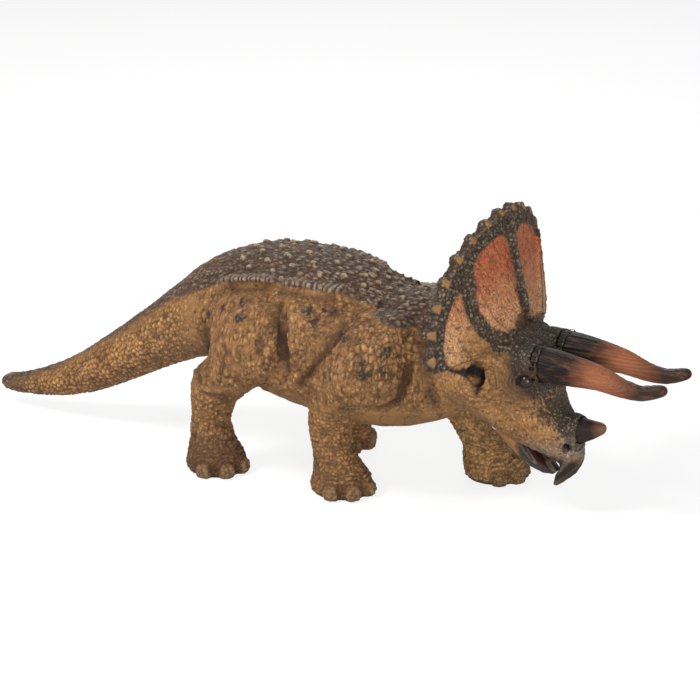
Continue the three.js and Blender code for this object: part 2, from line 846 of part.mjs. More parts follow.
function pin(diameter, length) {
  const rod = new THREE.CylinderGeometry(diameter / 2, diameter / 2, length, 16);
  return placed(rod, hinge, noTurn, place(1, 1, 1));
}

const pinHole = (length) => pin(pinDiameter + pinClearance * 2, length);

// The space that the jaw sweeps, with its clearance
function jawRoom() {
  const poses = [jawShutAngle, 0, jawOpenAngle / 2, jawOpenAngle];
  return poses.map((angle) => swing(jaw(jawClearance), angle));
}

// The opening between the jaws, at the pose shown
function mouth() {
  const turn = new THREE.Euler(0, radians(headPitch), 0);
  const middle = jawRootPlace + jawLength + mouthOverhang - mouthLength / 2;
  return egg(place(mouthLength, mouthWidth, mouthDepth), onHead(middle, 0, 0), turn, 12, 8);
}

// Eyes, ears, nostrils and cheeks. Each place: along, across and up, as shares of the head.
const eyeShares = [0.405, 0.29, 0.385];
const earShares = [0.205, 0.445, 0.2];
const nostrilShares = [0.81, 0.12, 0.22];
const cheekStartShares = [0.24, 0.4, 0.02];
const cheekEndShares = [0.62, 0.18, 0];
const eyeTurn = 62; // degrees from straight ahead

function eye(side) {
  const centre = onSide(side, eyeShares);
  const turn = new THREE.Euler(0, 0, side * radians(eyeTurn));
  const lids = collar(eyeSize, eyelidThickness, centre, turn);
  return lids.add(egg(place(eyeSize, eyeSize, eyeSize), centre, turn, 8, 6));
}

const cheek = (side) =>
  ridge(onSide(side, cheekStartShares), onSide(side, cheekEndShares), cheekRidgeWidth);

function earHole(side) {
  return egg(place(earWidth, earWidth, earHeight), onSide(side, earShares), noTurn, 10, 8);
}

function nostril(side) {
  return egg(place(nostrilWidth, nostrilWidth, nostrilLength), onSide(side, nostrilShares), noTurn, 8, 6);
}

function head() {
  const neckEnd = spine().subtract(behind(neckSeamPlace + seam, backHeight));
  const sideBands = bothSides.map((side) => frillBand(sideBandShares, side));
  const bands = [frillBand(middleBandShares, LEFT), ...sideBands];
  const forms = [
    skull(), neckEnd, beak(), shield(), ...bands, ...rimKnobs(), noseRoot(),
    ...bothSides.flatMap((side) => [brow(side), eye(side), cheek(side)]),
  ];
  const cutters = [
    behind(neckSeamPlace + seam, backHeight),
    neckPeg(pegClearance),
    ...bothSides.flatMap((side) => [earHole(side), nostril(side), browHorn(side, seam)]),
    noseHorn(seam),
    mouth(),
    ...jawRoom(),
    pinHole(pinLength + seam * 2),
  ];
  return cut(join(forms), cutters);
}

// Assembly

const hideColour = 0x9c6f42;
const backColour = 0x4a3d34;
const frillColour = 0x6a5440;
const hornColour = 0x4a2a1c;
const beakColour = 0x33302e;
const steelColour = 0xb8bcc0;

const matt = 0.6; // roughness
const satin = 0.4;

function paint(color, roughness = matt, metalness = 0) {
  return new THREE.MeshStandardMaterial({ color, roughness, metalness });
}

const figure = new THREE.Group();

function addPiece(name, body, material) {
  const mesh = new THREE.Mesh(geometryOf(body), material);
  mesh.name = name;
  figure.add(mesh);
}

addPiece("torso", torso(), paint(backColour));
addPiece("tail", tail(), paint(hideColour));
for (const [name, limb] of Object.entries(limbs)) {
  addPiece(name, leg(limb), paint(hideColour));
}
addPiece("head", head(), paint(frillColour));
addPiece("right_brow_horn", browHorn(RIGHT), paint(hornColour, satin));
addPiece("left_brow_horn", browHorn(LEFT), paint(hornColour, satin));
addPiece("nose_horn", noseHorn(), paint(hornColour, satin));
addPiece("lower_jaw", jaw().subtract(pinHole(pinLength)), paint(beakColour, satin));
addPiece("jaw_pin", pin(pinDiameter, pinLength), paint(steelColour, satin, 1));

export default figure;
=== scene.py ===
# %% [markdown]
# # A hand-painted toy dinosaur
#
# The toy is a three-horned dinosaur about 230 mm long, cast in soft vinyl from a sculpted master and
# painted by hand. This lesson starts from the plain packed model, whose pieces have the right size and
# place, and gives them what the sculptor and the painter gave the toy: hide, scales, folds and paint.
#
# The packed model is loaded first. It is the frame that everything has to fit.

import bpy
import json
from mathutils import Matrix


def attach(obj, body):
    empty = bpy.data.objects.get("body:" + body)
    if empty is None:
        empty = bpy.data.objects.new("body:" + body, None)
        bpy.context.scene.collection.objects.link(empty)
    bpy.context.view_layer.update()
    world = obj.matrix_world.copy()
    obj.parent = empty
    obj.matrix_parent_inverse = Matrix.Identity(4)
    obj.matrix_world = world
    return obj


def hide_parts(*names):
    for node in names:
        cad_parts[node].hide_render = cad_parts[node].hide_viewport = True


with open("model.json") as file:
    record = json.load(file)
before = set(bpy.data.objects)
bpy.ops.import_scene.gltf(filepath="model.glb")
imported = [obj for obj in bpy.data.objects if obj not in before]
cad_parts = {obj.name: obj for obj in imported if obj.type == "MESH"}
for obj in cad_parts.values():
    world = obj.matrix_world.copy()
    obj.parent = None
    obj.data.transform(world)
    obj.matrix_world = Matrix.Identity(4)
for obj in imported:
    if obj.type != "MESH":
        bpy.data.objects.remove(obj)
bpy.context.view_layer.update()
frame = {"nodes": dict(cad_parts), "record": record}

# %% [markdown]
# ## Camera
#
# A small toy is photographed from a little way off with a long lens, which keeps the near and far side
# nearly the same size. The camera looks at the middle of the figure, turned from its right side towards
# its snout and raised a little. A view without perspective would be simpler, but the near foot would
# look no larger than the far one. Sizes in this file are in millimetres, and `mm` turns them into metres.

# %% Camera
from math import cos, radians, sin

import bpy
from mathutils import Vector

mm = 0.001
scene = bpy.context.scene

camera_turn = radians(29.5)
camera_rise = radians(17.98)
camera_distance = 800
camera_target = Vector((11.25, 0, 37.49))
view_width = 204.1  # what the lens takes in at the target
sensor_width = 36

backwards = Vector((
    sin(camera_turn) * cos(camera_rise),
    -cos(camera_turn) * cos(camera_rise),
    sin(camera_rise)))
camera = bpy.data.objects.new("camera", bpy.data.cameras.new("camera"))
camera.data.sensor_width = sensor_width
camera.data.lens = sensor_width * camera_distance / view_width
camera.data.clip_start = 0.01
camera.location = (camera_target + backwards * camera_distance) * mm
camera.rotation_euler = backwards.to_track_quat("Z", "Y").to_euler()
scene.collection.objects.link(camera)
scene.camera = camera
print("lens", round(camera.data.lens, 1), "mm")

# %% [markdown]
# ## Node helpers
#
# Every finish, and the sky too, is a small tree of shader nodes. Nodes can be placed and joined by hand
# in the editor. Here helpers do it, so that a tree reads as a list of steps: `feed` links or sets a
# socket, `math` works out one number, and `spread` stretches one range of numbers over another.

# %% Node helpers
def feed(tree, socket, value):
    """Links a node's socket to another socket, or sets it to a value."""
    if isinstance(value, bpy.types.NodeSocket):
        tree.links.new(value, socket)
    else:
        socket.default_value = value


def math(tree, operation, first, second):
    """One operation on two numbers, such as MULTIPLY."""
    node = tree.nodes.new("ShaderNodeMath")
    node.operation = operation
    feed(tree, node.inputs[0], first)
    feed(tree, node.inputs[1], second)
    return node.outputs[0]


def spread(tree, value, low, high, bottom=0.0, top=1.0):
    """Stretches low to high over bottom to top, and holds it there."""
    node = tree.nodes.new("ShaderNodeMapRange")
    feed(tree, node.inputs["Value"], value)
    node.inputs["From Min"].default_value = low
    node.inputs["From Max"].default_value = high
    node.inputs["To Min"].default_value = bottom
    node.inputs["To Max"].default_value = top
    return node.outputs["Result"]


print("helpers", [helper.__name__ for helper in (feed, math, spread)])

# %% [markdown]
# ## Light and floor
#
# A product photograph of a toy has one broad soft lamp above and in front, a weaker one opposite, and
# a white room. The room could be a real box of white card. A white sky is simpler: it is white to the
# camera and to gloss, and much darker to the toy, so that the hollows between the legs stay dark.

# %% Room
scene.view_settings.view_transform = "Standard"

world = bpy.data.worlds.new("studio")
world.use_nodes = True
scene.world = world
room_light = 0.3
tree = world.node_tree
sky = tree.nodes["Background"]
rays = tree.nodes.new("ShaderNodeLightPath")
seen = math(tree, "MAXIMUM", rays.outputs["Is Camera Ray"], rays.outputs["Is Glossy Ray"])
seen = math(tree, "MAXIMUM", seen, rays.outputs["Is Transmission Ray"])
sky.inputs["Color"].default_value = (1, 1, 1, 1)
feed(tree, sky.inputs["Strength"], spread(tree, seen, 0, 1, room_light, 1))


def lamp(name, place, size, power, warmth=(1, 1, 1)):
    """A square soft lamp at a place in millimetres, turned to the middle of the figure."""
    data = bpy.data.lights.new(name, "AREA")
    data.size = size * mm
    data.energy = power
    data.color = warmth
    lamp_object = bpy.data.objects.new(name, data)
    lamp_object.location = Vector(place) * mm
    aim = Vector(place) - camera_target
    lamp_object.rotation_euler = aim.to_track_quat("Z", "Y").to_euler()
    scene.collection.objects.link(lamp_object)


lamp("key", (-230, -400, 600), 220, 5.8, (1, 0.98, 0.95))
lamp("fill", (430, -540, 170), 280, 3.9, (1, 0.99, 0.98))
lamp("rim", (-260, 460, 420), 260, 1.6)
print("lamps", [data.name for data in bpy.data.lights])

# %% [markdown]
# The toy stands on a sweep of pale paper. A wide plane does for it. To the camera it is mostly its own
# white light, so that it meets the white room without a horizon. The rest is matt paint, which takes
# the soft shadow that shows how the feet stand.

# %% Floor
import bmesh


def new_finish(name):
    material = bpy.data.materials.new(name)
    material.use_nodes = True
    shader = material.node_tree.nodes["Principled BSDF"]
    return material, material.node_tree, shader


floor_size = 6000
paper = (0.9, 0.9, 0.9, 1)
paper_roughness = 0.9
own_light = 0.82
bm = bmesh.new()
bmesh.ops.create_grid(bm, x_segments=1, y_segments=1, size=floor_size * mm / 2)
floor = bpy.data.objects.new("floor", bpy.data.meshes.new("floor"))
bm.to_mesh(floor.data)
bm.free()
scene.collection.objects.link(floor)

material, tree, shader = new_finish("pale floor")
shader.inputs["Base Color"].default_value = paper
shader.inputs["Roughness"].default_value = paper_roughness
glow = tree.nodes.new("ShaderNodeEmission")
glow.inputs["Color"].default_value = (1, 1, 1, 1)
both = tree.nodes.new("ShaderNodeMixShader")
rays = tree.nodes.new("ShaderNodeLightPath")
feed(tree, both.inputs["Fac"], math(tree, "MULTIPLY", rays.outputs["Is Camera Ray"], own_light))
matt_side, glow_side = both.inputs[1], both.inputs[2]  # both have the name Shader, so they are counted
tree.links.new(shader.outputs["BSDF"], matt_side)
tree.links.new(glow.outputs["Emission"], glow_side)
tree.links.new(both.outputs["Shader"], tree.nodes["Material Output"].inputs["Surface"])
floor.data.materials.append(material)
print("floor", floor_size, "mm wide")

# %% [markdown]
# ## Clay
#
# The sculptor worked in clay, pressing and smoothing one skin over all the limbs. Sculpt brushes could
# do the same, but strokes of a hand can't be written down. Here the strokes are sums: each point of a
# fine skin is pushed or drawn by its own amount, and all points are one array of numbers, which is fast.

# %% Clay
import numpy as np


class Clay:
    """A skin whose points are moved together. Points and sizes are in millimetres."""

    def __init__(self, mesh):
        self.mesh = mesh
        places = np.empty(len(mesh.vertices) * 3)
        mesh.vertices.foreach_get("co", places)
        self.points = places.reshape(-1, 3) / mm
        ends = np.empty(len(mesh.edges) * 2, dtype=np.int64)
        mesh.edges.foreach_get("vertices", ends)
        self.ends = ends.reshape(-1, 2).T
        self.neighbours = np.bincount(ends, minlength=len(self.points))
        self.layers = {}

    def around(self, values):
        """The mean of each point's neighbours, for one row of values."""
        first, second = self.ends
        count = len(self.points)
        total = np.bincount(first, values[second], count) + np.bincount(second, values[first], count)
        return total / self.neighbours

    def blur(self, values, rounds):
        for _ in range(rounds):
            values = (values + self.around(values)) / 2
        return values

    def relax(self, share, rounds):
        """Draws each point towards its neighbours. A negative share pushes it away from them."""
        for _ in range(rounds):
            drawn = [self.around(self.points[:, axis]) for axis in range(3)]
            self.points += share[:, None] * (np.stack(drawn, axis=1) - self.points)

    def despike(self, reach, rounds):
        """Draws in only the points that stand further than reach from the middle of their neighbours."""
        for _ in range(rounds):
            middle = np.stack([self.around(self.points[:, axis]) for axis in range(3)], axis=1)
            gap = np.linalg.norm(middle - self.points, axis=1)
            self.points += (np.minimum(gap / reach, 1) ** 4)[:, None] * (middle - self.points)

    def smooth(self, share, rounds):
        """Irons out facets but keeps the volume: each draw is followed by a slightly larger push."""
        draw, back_push = 0.6, -0.62
        for _ in range(rounds):
            self.relax(share * draw, 1)
            self.relax(share * back_push, 1)

    def settle(self):
        """Writes the points to the mesh and reads the directions that they face."""
        self.mesh.vertices.foreach_set("co", (self.points * mm).ravel())
        self.mesh.update()
        facing = np.empty(len(self.points) * 3, dtype=np.float32)
        self.mesh.vertex_normals.foreach_get("vector", facing)
        self.facing = facing.reshape(-1, 3).astype(float)

    def push(self, amount):
        """Moves each point outwards by its own amount."""
        self.points += self.facing * np.asarray(amount)[:, None]


print("strokes", [name for name in vars(Clay) if not name.startswith("_")])

# %% [markdown]
# The plain pieces are loose triangles, so copies of them are welded first. They are swollen until their
# seams close, and a voxel Remesh turns them into one skin of even small squares. A Boolean union would
# keep their long uneven facets, which can't take scales. The swelling is taken back later.

# %% One skin over the pieces
weld_reach = 0.01


def welded(names):
    """Copies of CAD nodes in one mesh, their loose triangles joined."""
    bm = bmesh.new()
    for name in names:
        bm.from_mesh(frame["nodes"][name].data)
    bmesh.ops.remove_doubles(bm, verts=bm.verts, dist=weld_reach * mm)
    mesh = bpy.data.meshes.new("welded")
    bm.to_mesh(mesh)
    bm.free()
    return mesh


def clay_over(names, swelling, square):
    """One even skin over CAD nodes, swollen to close their seams."""
    blank = bpy.data.objects.new("blank", welded(names))
    scene.collection.objects.link(blank)
    swell = blank.modifiers.new("Swell", "DISPLACE")
    swell.strength = swelling * mm
    swell.mid_level = 0
    remesh = blank.modifiers.new("Clay", "REMESH")
    remesh.mode = "VOXEL"
    remesh.voxel_size = square * mm
    shown = blank.evaluated_get(bpy.context.evaluated_depsgraph_get())
    mesh = bpy.data.meshes.new_from_object(shown)
    bpy.data.objects.remove(blank)
    return Clay(mesh)


def repeats(full):
    return full


hide_nodes = [
    "torso", "tail", "right_hind_leg", "left_hind_leg", "right_foreleg", "left_foreleg", "head"]
swelling = 0.25
square = 0.4
body = clay_over(hide_nodes, swelling, square)
print("clay", len(body.points), "points")

# %% [markdown]
# Before anything is pressed in, each point learns which CAD piece it belongs to. The skin is one sculpt,
# but the toy is cast in pieces, and at the end it is cut apart there. The boxes of the pieces overlap,
# so they can't tell. A search tree over all triangles finds the piece whose surface is nearest.

# %% Which piece is nearest
from mathutils.bvhtree import BVHTree


def nearest_nodes(points, names):
    """For each point, the place in names of the CAD node whose surface is nearest."""
    corners, triangles, owners = [], [], []
    for number, name in enumerate(names):
        mesh = frame["nodes"][name].data
        start = len(corners)
        corners += [v.co / mm for v in mesh.vertices]
        triangles += [[start + i for i in p.vertices] for p in mesh.polygons]
        owners += [number] * len(mesh.polygons)
    tree = BVHTree.FromPolygons(corners, triangles)
    return np.array([owners[tree.find_nearest(p)[2]] for p in points.tolist()])


belongs = nearest_nodes(body.points, hide_nodes)
print({name: int((belongs == i).sum()) for i, name in enumerate(hide_nodes)})

# %% [markdown]
# ## Measuring the skin
#
# Regions of the skin could be painted by hand as vertex groups. Here they are placed by simple measures,
# which one number can correct: how far a point is from a line or a spot, and how it lies round the body.
# `fade` turns such a distance into a soft edge from 0 to 1.

# %% Measures
def fade(value, low, high):
    """0 under low, 1 over high, and a smooth slope between."""
    share = np.clip((value - low) / (high - low), 0, 1)
    return share * share * (3 - 2 * share)


def to_path(points, path):
    """Distance of points from a path of straight runs, in as many axes as the path has."""
    path = np.asarray(path, dtype=float)
    nearest = np.full(len(points), 1e9)
    for start, end in zip(path[:-1], path[1:]):
        run = end - start
        share = np.clip((points - start) @ run / (run @ run), 0, 1)
        gap = np.linalg.norm(points - start - share[:, None] * run, axis=1)
        nearest = np.minimum(nearest, gap)
    return nearest


def to_spot(points, spot, size=(1, 1, 1)):
    """Distance from a spot, counted in sizes along X, Y and Z."""
    return np.linalg.norm((points - spot) / size, axis=1)


def mirrored(x, y, z):
    """The same spot on the right and the left side."""
    return [np.array((x, -y, z)), np.array((x, y, z))]


print("soft edge", [round(float(fade(share, 0.2, 0.8)), 2) for share in (0, 0.4, 0.5, 0.6, 1)])

# %% [markdown]
# The pebbles of the back run round the body, so its middle, height and width have to be known all along
# it. They could be copied from the packed model's source. Measuring slices of the skin is safer, because
# it stays right when the model changes.

# %% Slices of the trunk
def slices(points, step=4):
    """Along X: the middle height, half height and half width of the skin at some points."""
    rows = []
    for x in np.arange(points[:, 0].min() + step, points[:, 0].max(), step):
        near = points[np.abs(points[:, 0] - x) < step]
        low, high = near[:, 2].min(), near[:, 2].max()
        rows.append((x, (low + high) / 2, (high - low) / 2, np.abs(near[:, 1]).max()))
    return np.array(rows).T


trunk = np.isin(belongs, [hide_nodes.index("torso"), hide_nodes.index("tail")])
slice_x, slice_middle, slice_rise, slice_width = slices(body.points[trunk])
print("slices", len(slice_x))

# %% [markdown]
# ## Scales and wrinkles
#
# Hide is not random noise. It is plates that press against each other, with grooves between them. A
# ready-made texture could draw them, but then the painter's masks couldn't follow them. So plates are
# worked out here from scattered seeds: every point belongs to its nearest seed, and where two seeds are
# equally near there is a groove.

# %% Plates
def scatter(places, seed):
    """A repeatable random number from 0 to 1 for each whole-number place."""
    mixed = places @ np.array((73856093, 19349663, 83492791)) + seed * 7919
    mixed = (mixed ^ (mixed >> 13)) * 1274126177
    return ((mixed ^ (mixed >> 16)) & 0xffff) / 0xffff


def plates(points, size, seed=1):
    """For each point: 0 in the groove to about 1 on top of its plate, and a number for the plate.

    size is one number, or one for each axis.
    """
    spots = points / size
    base = np.floor(spots).astype(np.int64)
    first = np.full(len(spots), 9.0)
    second = first.copy()
    number = np.zeros(len(spots))
    for step in np.ndindex(3, 3, 3):
        place = base + step - 1
        jitter = np.stack([scatter(place, seed + axis) for axis in range(3)], axis=1)
        gap = np.linalg.norm(place + 0.1 + 0.8 * jitter - spots, axis=1)
        nearer = gap < first
        second = np.where(nearer, first, np.minimum(second, gap))
        number = np.where(nearer, scatter(place, seed + 5), number)
        first = np.where(nearer, gap, first)
    return second - first, number


print("scattered", [round(float(share), 2) for share in scatter(np.arange(12).reshape(-1, 3), 1)])

# %% [markdown]
# Creases run across the way the skin stretches. A few could be drawn as paths, but there are hundreds.
# They come from slow noise, in which every point lies between the scattered numbers of eight corners
# round it. A crease lies along the zero line of the noise, which meanders like a real one.

# %% Creases
def slow_noise(points, size, seed=1):
    """Smooth noise from -1 to 1, with lumps of about size along X, Y and Z."""
    spots = points / size
    base = np.floor(spots).astype(np.int64)
    share = spots - base
    share = share * share * (3 - 2 * share)
    total = np.zeros(len(spots))
    for corner in np.ndindex(2, 2, 2):
        weight = np.prod(np.where(corner, share, 1 - share), axis=1)
        total += weight * scatter(base + corner, seed)
    return total * 2 - 1


def creases(points, size, thin, seed=1):
    """1 in a crease and 0 beside it."""
    noise = slow_noise(points, size, seed) + 0.45 * slow_noise(points * 2.1, size, seed + 1)
    return np.exp(-(noise / thin) ** 2)


print("a crease crosses", round(float((creases(body.points, 5, 0.1) > 0.5).mean()), 3), "of the skin")

# %% [markdown]
# ## A smooth body
#
# The packed pieces have flat facets, and sharp corners where a leg meets the flank. A sculptor rubs them
# out with a thumb. Here each point is drawn towards its neighbours: much on the trunk, and hardly on the
# toes, the frill and the bumps of the back, whose forms have to stay. Then the swelling is taken back.

# %% Parts of the body
x, y, z = body.points.T
part = {name: body.blur((belongs == i).astype(float), 8) for i, name in enumerate(hide_nodes)}
on_leg = sum(part[name] for name in hide_nodes if "leg" in name)
on_head = part["head"]

soles = [np.array(m["pos_m"]) / mm for m in frame["record"]["mounts"]]
toe_zone = np.max([1 - fade(to_spot(body.points, sole, (1, 1, 0.8)), 12, 15) for sole in soles], axis=0)
print("toe points", int((toe_zone > 0.5).sum()))

# %% [markdown]
# Drawing points together shrinks a form, so each draw is followed by a push back that is slightly larger.
# Where two castings meet, the points are drawn on without a push, which fills the corner. The forehead
# meets the frill in a sharp step, and takes the same treatment.

# %% Rub out facets and corners
junction = body.blur(4 * on_leg * (1 - on_leg), 6)
studded = fade(body.points[:, 2], 54, 57) * (1 - on_head)
neck_joint = body.blur(4 * on_head * (1 - on_head), 6) * (1 - fade(x, 54, 58))
fine_parts = np.max([toe_zone, on_head, studded], axis=0)
body.despike(0.5 * square, 12)
body.smooth(1 - 0.8 * fine_parts, repeats(60))
body.relax(0.5 * fade(neck_joint, 0.05, 0.4), repeats(40))
body.relax(0.5 * fade(junction, 0.1, 0.6) * (1 - fine_parts), repeats(30))
body.settle()
body.push(np.full(len(x), -swelling))
body.settle()

forehead_foot = on_head * (1 - fade(to_spot(body.points, (71, 0, 56), (1, 1, 0.8)), 5, 9))
body.relax(0.6 * forehead_foot, repeats(60))
body.settle()

# A copy that is ironed flat tells how proud each point of the body stands.
ironed = Clay(body.mesh)
ironed.relax(np.full(len(x), 1.0), repeats(60))
proud = ((body.points - ironed.points) * body.facing).sum(axis=1)
print("smoothed, proudest", round(float(proud.max()), 2), "mm")

# %% [markdown]
# ## Notes of the sculpt
#
# The sculpt is planned on sheets of notes, with a number for each point. `relief` is how far the point
# will move outwards, in millimetres. The others are for the painter: `groove` marks what lies deep and
# takes a dark wash, `crown` marks what stands proud and takes dry paint, and `tone` makes each plate a
# little lighter or darker. Marks could be pressed in one by one, but then each would lie on skin that
# the last had bent. So nothing moves until the relief is complete.

# %% Relief sheets
x, y, z = body.points.T  # read again, because smoothing has moved the points
wide = np.abs(y)
relief = np.zeros(len(x))
groove = np.zeros(len(x))
crown = np.zeros(len(x))
tone = np.full(len(x), 0.5)
side_view = body.points[:, (0, 2)]
front_view = np.stack([wide, z], axis=1)


def mark(sheet, values):
    """Keeps the stronger of what is on the sheet and what is new."""
    np.maximum(sheet, values, out=sheet)


print("sheets for", len(relief), "points")

# %% [markdown]
# ## The back
#
# A pale scalloped rim runs from the rump to the shoulder, and above it the hide is dark. The line
# between the two is drawn as seen from the side, and `over_line` is the height above it. A cosine along
# the body makes the beads of the rim, which is far less work than placing each of them.

# %% Back and rim
# Places seen from the side: along the body and up.
back_line = np.array([
    (-116, 7), (-95, 15), (-75, 27.5), (-60, 37), (-45, 47), (-33, 53), (-24, 57), (-19, 59),
    (-8, 61), (5, 61), (16, 59.8), (24, 57.5), (33, 55.5), (42, 53), (50, 50)])
over_line = z - np.interp(x, back_line[:, 0], back_line[:, 1])
on_tail = 1 - fade(x, -42, -26)
back = fade(over_line, -1.6 - 3 * on_tail, 0.8 + 3 * on_tail) * (1 - on_head)

rim_start, rim_end, rim_break = -25, 18, -1.5
on_rim = fade(x, rim_start, rim_start + 3) * (1 - fade(x, rim_end - 3, rim_end))
on_rim *= fade(np.abs(x - rim_break), 1, 2) * (1 - on_head)
bead_pitch = 1.55
bead_round = 0.5 + 0.5 * np.cos(2 * np.pi * x / bead_pitch)
beads = on_rim * np.exp(-((over_line - 0.3) / 0.85) ** 2)
under_rim = on_rim * np.exp(-((over_line + 1.9) / 0.9) ** 2)
relief += beads * (0.45 + 0.4 * bead_round) - 0.6 * under_rim
mark(groove, 0.8 * beads * fade(-bead_round, -0.4, -0.1))
mark(groove, 0.8 * under_rim)
print("bead points", int((beads > 0.5).sum()))

# %% [markdown]
# Two tools press the plates and creases into a region of the sheets. Each region is a number from 0 to 1
# for each point, so a tool fades out where the region does. Points outside are left out of the sums,
# which saves most of the time.

# %% Tools for plates and creases
least_share = 0.02  # a point with less of a region counts as outside


def add_plates(where, size, depth, seed, wash=1.0, top=0.34, counted=None):
    """Presses the grooves between plates of a size into one region.

    wash is how much dark paint runs into them, and top is how far in from its edge a plate gets proud.
    counted is where the points are in some other way of counting, such as along the tail.
    """
    edge = 0.34  # how wide the slope of a groove is, as a share of a plate
    chosen = where > least_share
    share = where[chosen]
    points = body.points if counted is None else counted
    gap, number = plates(points[chosen], np.array(size), seed)
    relief[chosen] -= depth * share * (1 - fade(gap, 0, edge))
    groove[chosen] = np.maximum(groove[chosen], wash * share * (1 - fade(gap, 0.02, edge * 0.7)))
    crown[chosen] = np.maximum(crown[chosen], share * fade(gap, top, top + edge))
    tone[chosen] += share * (number - 0.5)


def add_creases(where, size, depth, thin, seed, wash=0.85, counted=None):
    """Cuts meandering creases into one region, longest where size is largest, and breaks them up."""
    chosen = where > least_share
    points = (body.points if counted is None else counted)[chosen]
    cut = where[chosen] * creases(points, np.array(size), thin, seed)
    cut *= fade(slow_noise(points, np.array(size) * 0.7, seed + 2), -0.45, 0.1)
    relief[chosen] -= depth * cut
    groove[chosen] = np.maximum(groove[chosen], wash * cut)


print("tools", [tool.__name__ for tool in (add_plates, add_creases)])

# %% [markdown]
# Above the rim the hide is pebbled, with raised oval bumps in rows. The packed model has the bumps, and
# `proud` tells where they stand. Plates cut in all three directions would swim through the skin, so here
# they are counted along the body and round it, and their rows follow the back.

# %% Bumps and pebbles
body_radius = 23
middle = np.interp(x, slice_x, slice_middle)
rise = np.interp(x, slice_x, slice_rise)
width = np.interp(x, slice_x, slice_width)
round_body = body_radius * np.arctan2(wide / width, (z - middle) / rise)
back_places = np.stack([x, round_body, 0 * x], axis=1)
studs = back * fade(proud, 0.12, 0.4) * fade(over_line, 0.8, 2)
relief += 0.15 * studs
pebbled_back = back * (1 - 0.7 * studs) * (1 - beads)
add_plates(pebbled_back, (2.2, 1.35, 1), 0.46, 21, top=0.16, counted=back_places)
add_creases(pebbled_back, (7, 1.6, 1), 0.25, 0.09, 22, counted=back_places)
pebble_gap, pebble_number = plates(back_places, np.array((3.4, 2.5, 1)), 25)
small_studs = back * (1 - studs) * (pebble_number > 0.72) * fade(pebble_gap, 0.35, 0.8)
relief += 0.3 * small_studs
dull_share = 0.55  # the pebbles take less pale paint than the bumps
crown *= dull_share
mark(crown, studs)
mark(crown, 0.7 * small_studs)
mark(crown, 0.9 * beads * bead_round)
print("stud points", int((studs > 0.3).sum()))

# %% [markdown]
# ## Flanks, thighs and shoulders
#
# The sides are tan, with upright folds where the skin hangs. The deepest fold is in front of the thigh.
# Others lie behind the shoulder and under it. They are drawn as paths seen from the side, each with its
# width and depth, and pressed into both sides alike. The thigh and the upper arm swell between them.

# %% Folds of the sides
def add_fold(view, path, width, depth, where=1.0):
    """Presses one fold along a path, with a soft lip on both sides of it.

    The wash in it is narrower than the fold, as it runs down to the bottom.
    """
    gap = to_path(view, path)
    cut = where * np.exp(-(gap / width) ** 2)
    lip = where * np.exp(-((gap - 2 * width) / width) ** 2)
    relief[:] += 0.22 * depth * lip - depth * cut
    mark(groove, where * min(depth, 1) * np.exp(-(gap / (0.6 * width)) ** 2))


sideways = fade(np.abs(body.facing[:, 1]), 0.2, 0.5)
# For each fold: its path seen from the side, its width and its depth.
side_folds = [
    ([(0.5, 56), (1, 53), (2, 50.5), (3, 46), (3.5, 43), (3.5, 40), (4.5, 36)], 1.8, 2.3),
    ([(24, 54.5), (21, 50), (18, 45.5), (15, 41), (11.5, 37), (8.5, 33)], 0.8, 0.9),
    ([(12, 53), (11.5, 48), (10, 42)], 0.5, 0.35),
    ([(41.5, 43), (40.5, 37.5), (38, 32.6), (34, 29.6), (29, 28.4), (23, 28)], 0.9, 1.5),
    ([(12, 36), (12.5, 31), (14, 26.5)], 1, 0.7),
    ([(-22, 57), (-26, 50), (-27.5, 44), (-26.5, 38)], 1.2, 0.6),
    ([(43, 52), (44.5, 46), (44.5, 40), (43, 34)], 1, 0.6),
    ([(-7, 30), (-12, 26.6), (-18, 25.4), (-25, 26)], 0.9, 0.9),
    ([(6, 52), (6.4, 46), (6, 41)], 0.5, 0.35),
    ([(9, 58), (8.6, 53)], 0.5, 0.35),
]
for path, fold_width, depth in side_folds:
    add_fold(side_view, path, fold_width, depth, sideways * (1 - on_head) * (1 - back))

# The skin behind the upper arm is finely wrinkled along a line that leans by 35 degrees.
lean_cos, lean_sin = 0.82, 0.574
across_fold = (x - 16) * lean_cos - (z - 44) * lean_sin
along_fold = (x - 16) * lean_sin + (z - 44) * lean_cos
fold_places = np.stack([across_fold, along_fold, 0 * x], axis=1)
wrinkled = sideways * (1 - fade(np.abs(across_fold + 2), 3, 6)) * fade(along_fold, -13, -8)
wrinkled *= (1 - back) * (1 - fade(along_fold, 8, 12))
add_creases(wrinkled, (1.1, 9, 1), 0.5, 0.15, 39, counted=fold_places)

upper_arm = sideways * (1 - fade(to_spot(side_view, (29, 37), (13, 8.5)), 0.5, 1.05))
thigh = sideways * (1 - fade(to_spot(side_view, (-11, 37), (12, 12)), 0.5, 1.05))
relief += 0.9 * upper_arm + 0.8 * thigh
print("fold points", int((relief < -0.5).sum()))

# %% [markdown]
# Between the folds the sides carry plates and creases that hang down, coarser on the shoulder and in
# warty patches. One size of scale would look printed, so several sets are pressed over each other, from
# fine plates to long creases. Each set has its own seed number, which makes it repeatable.

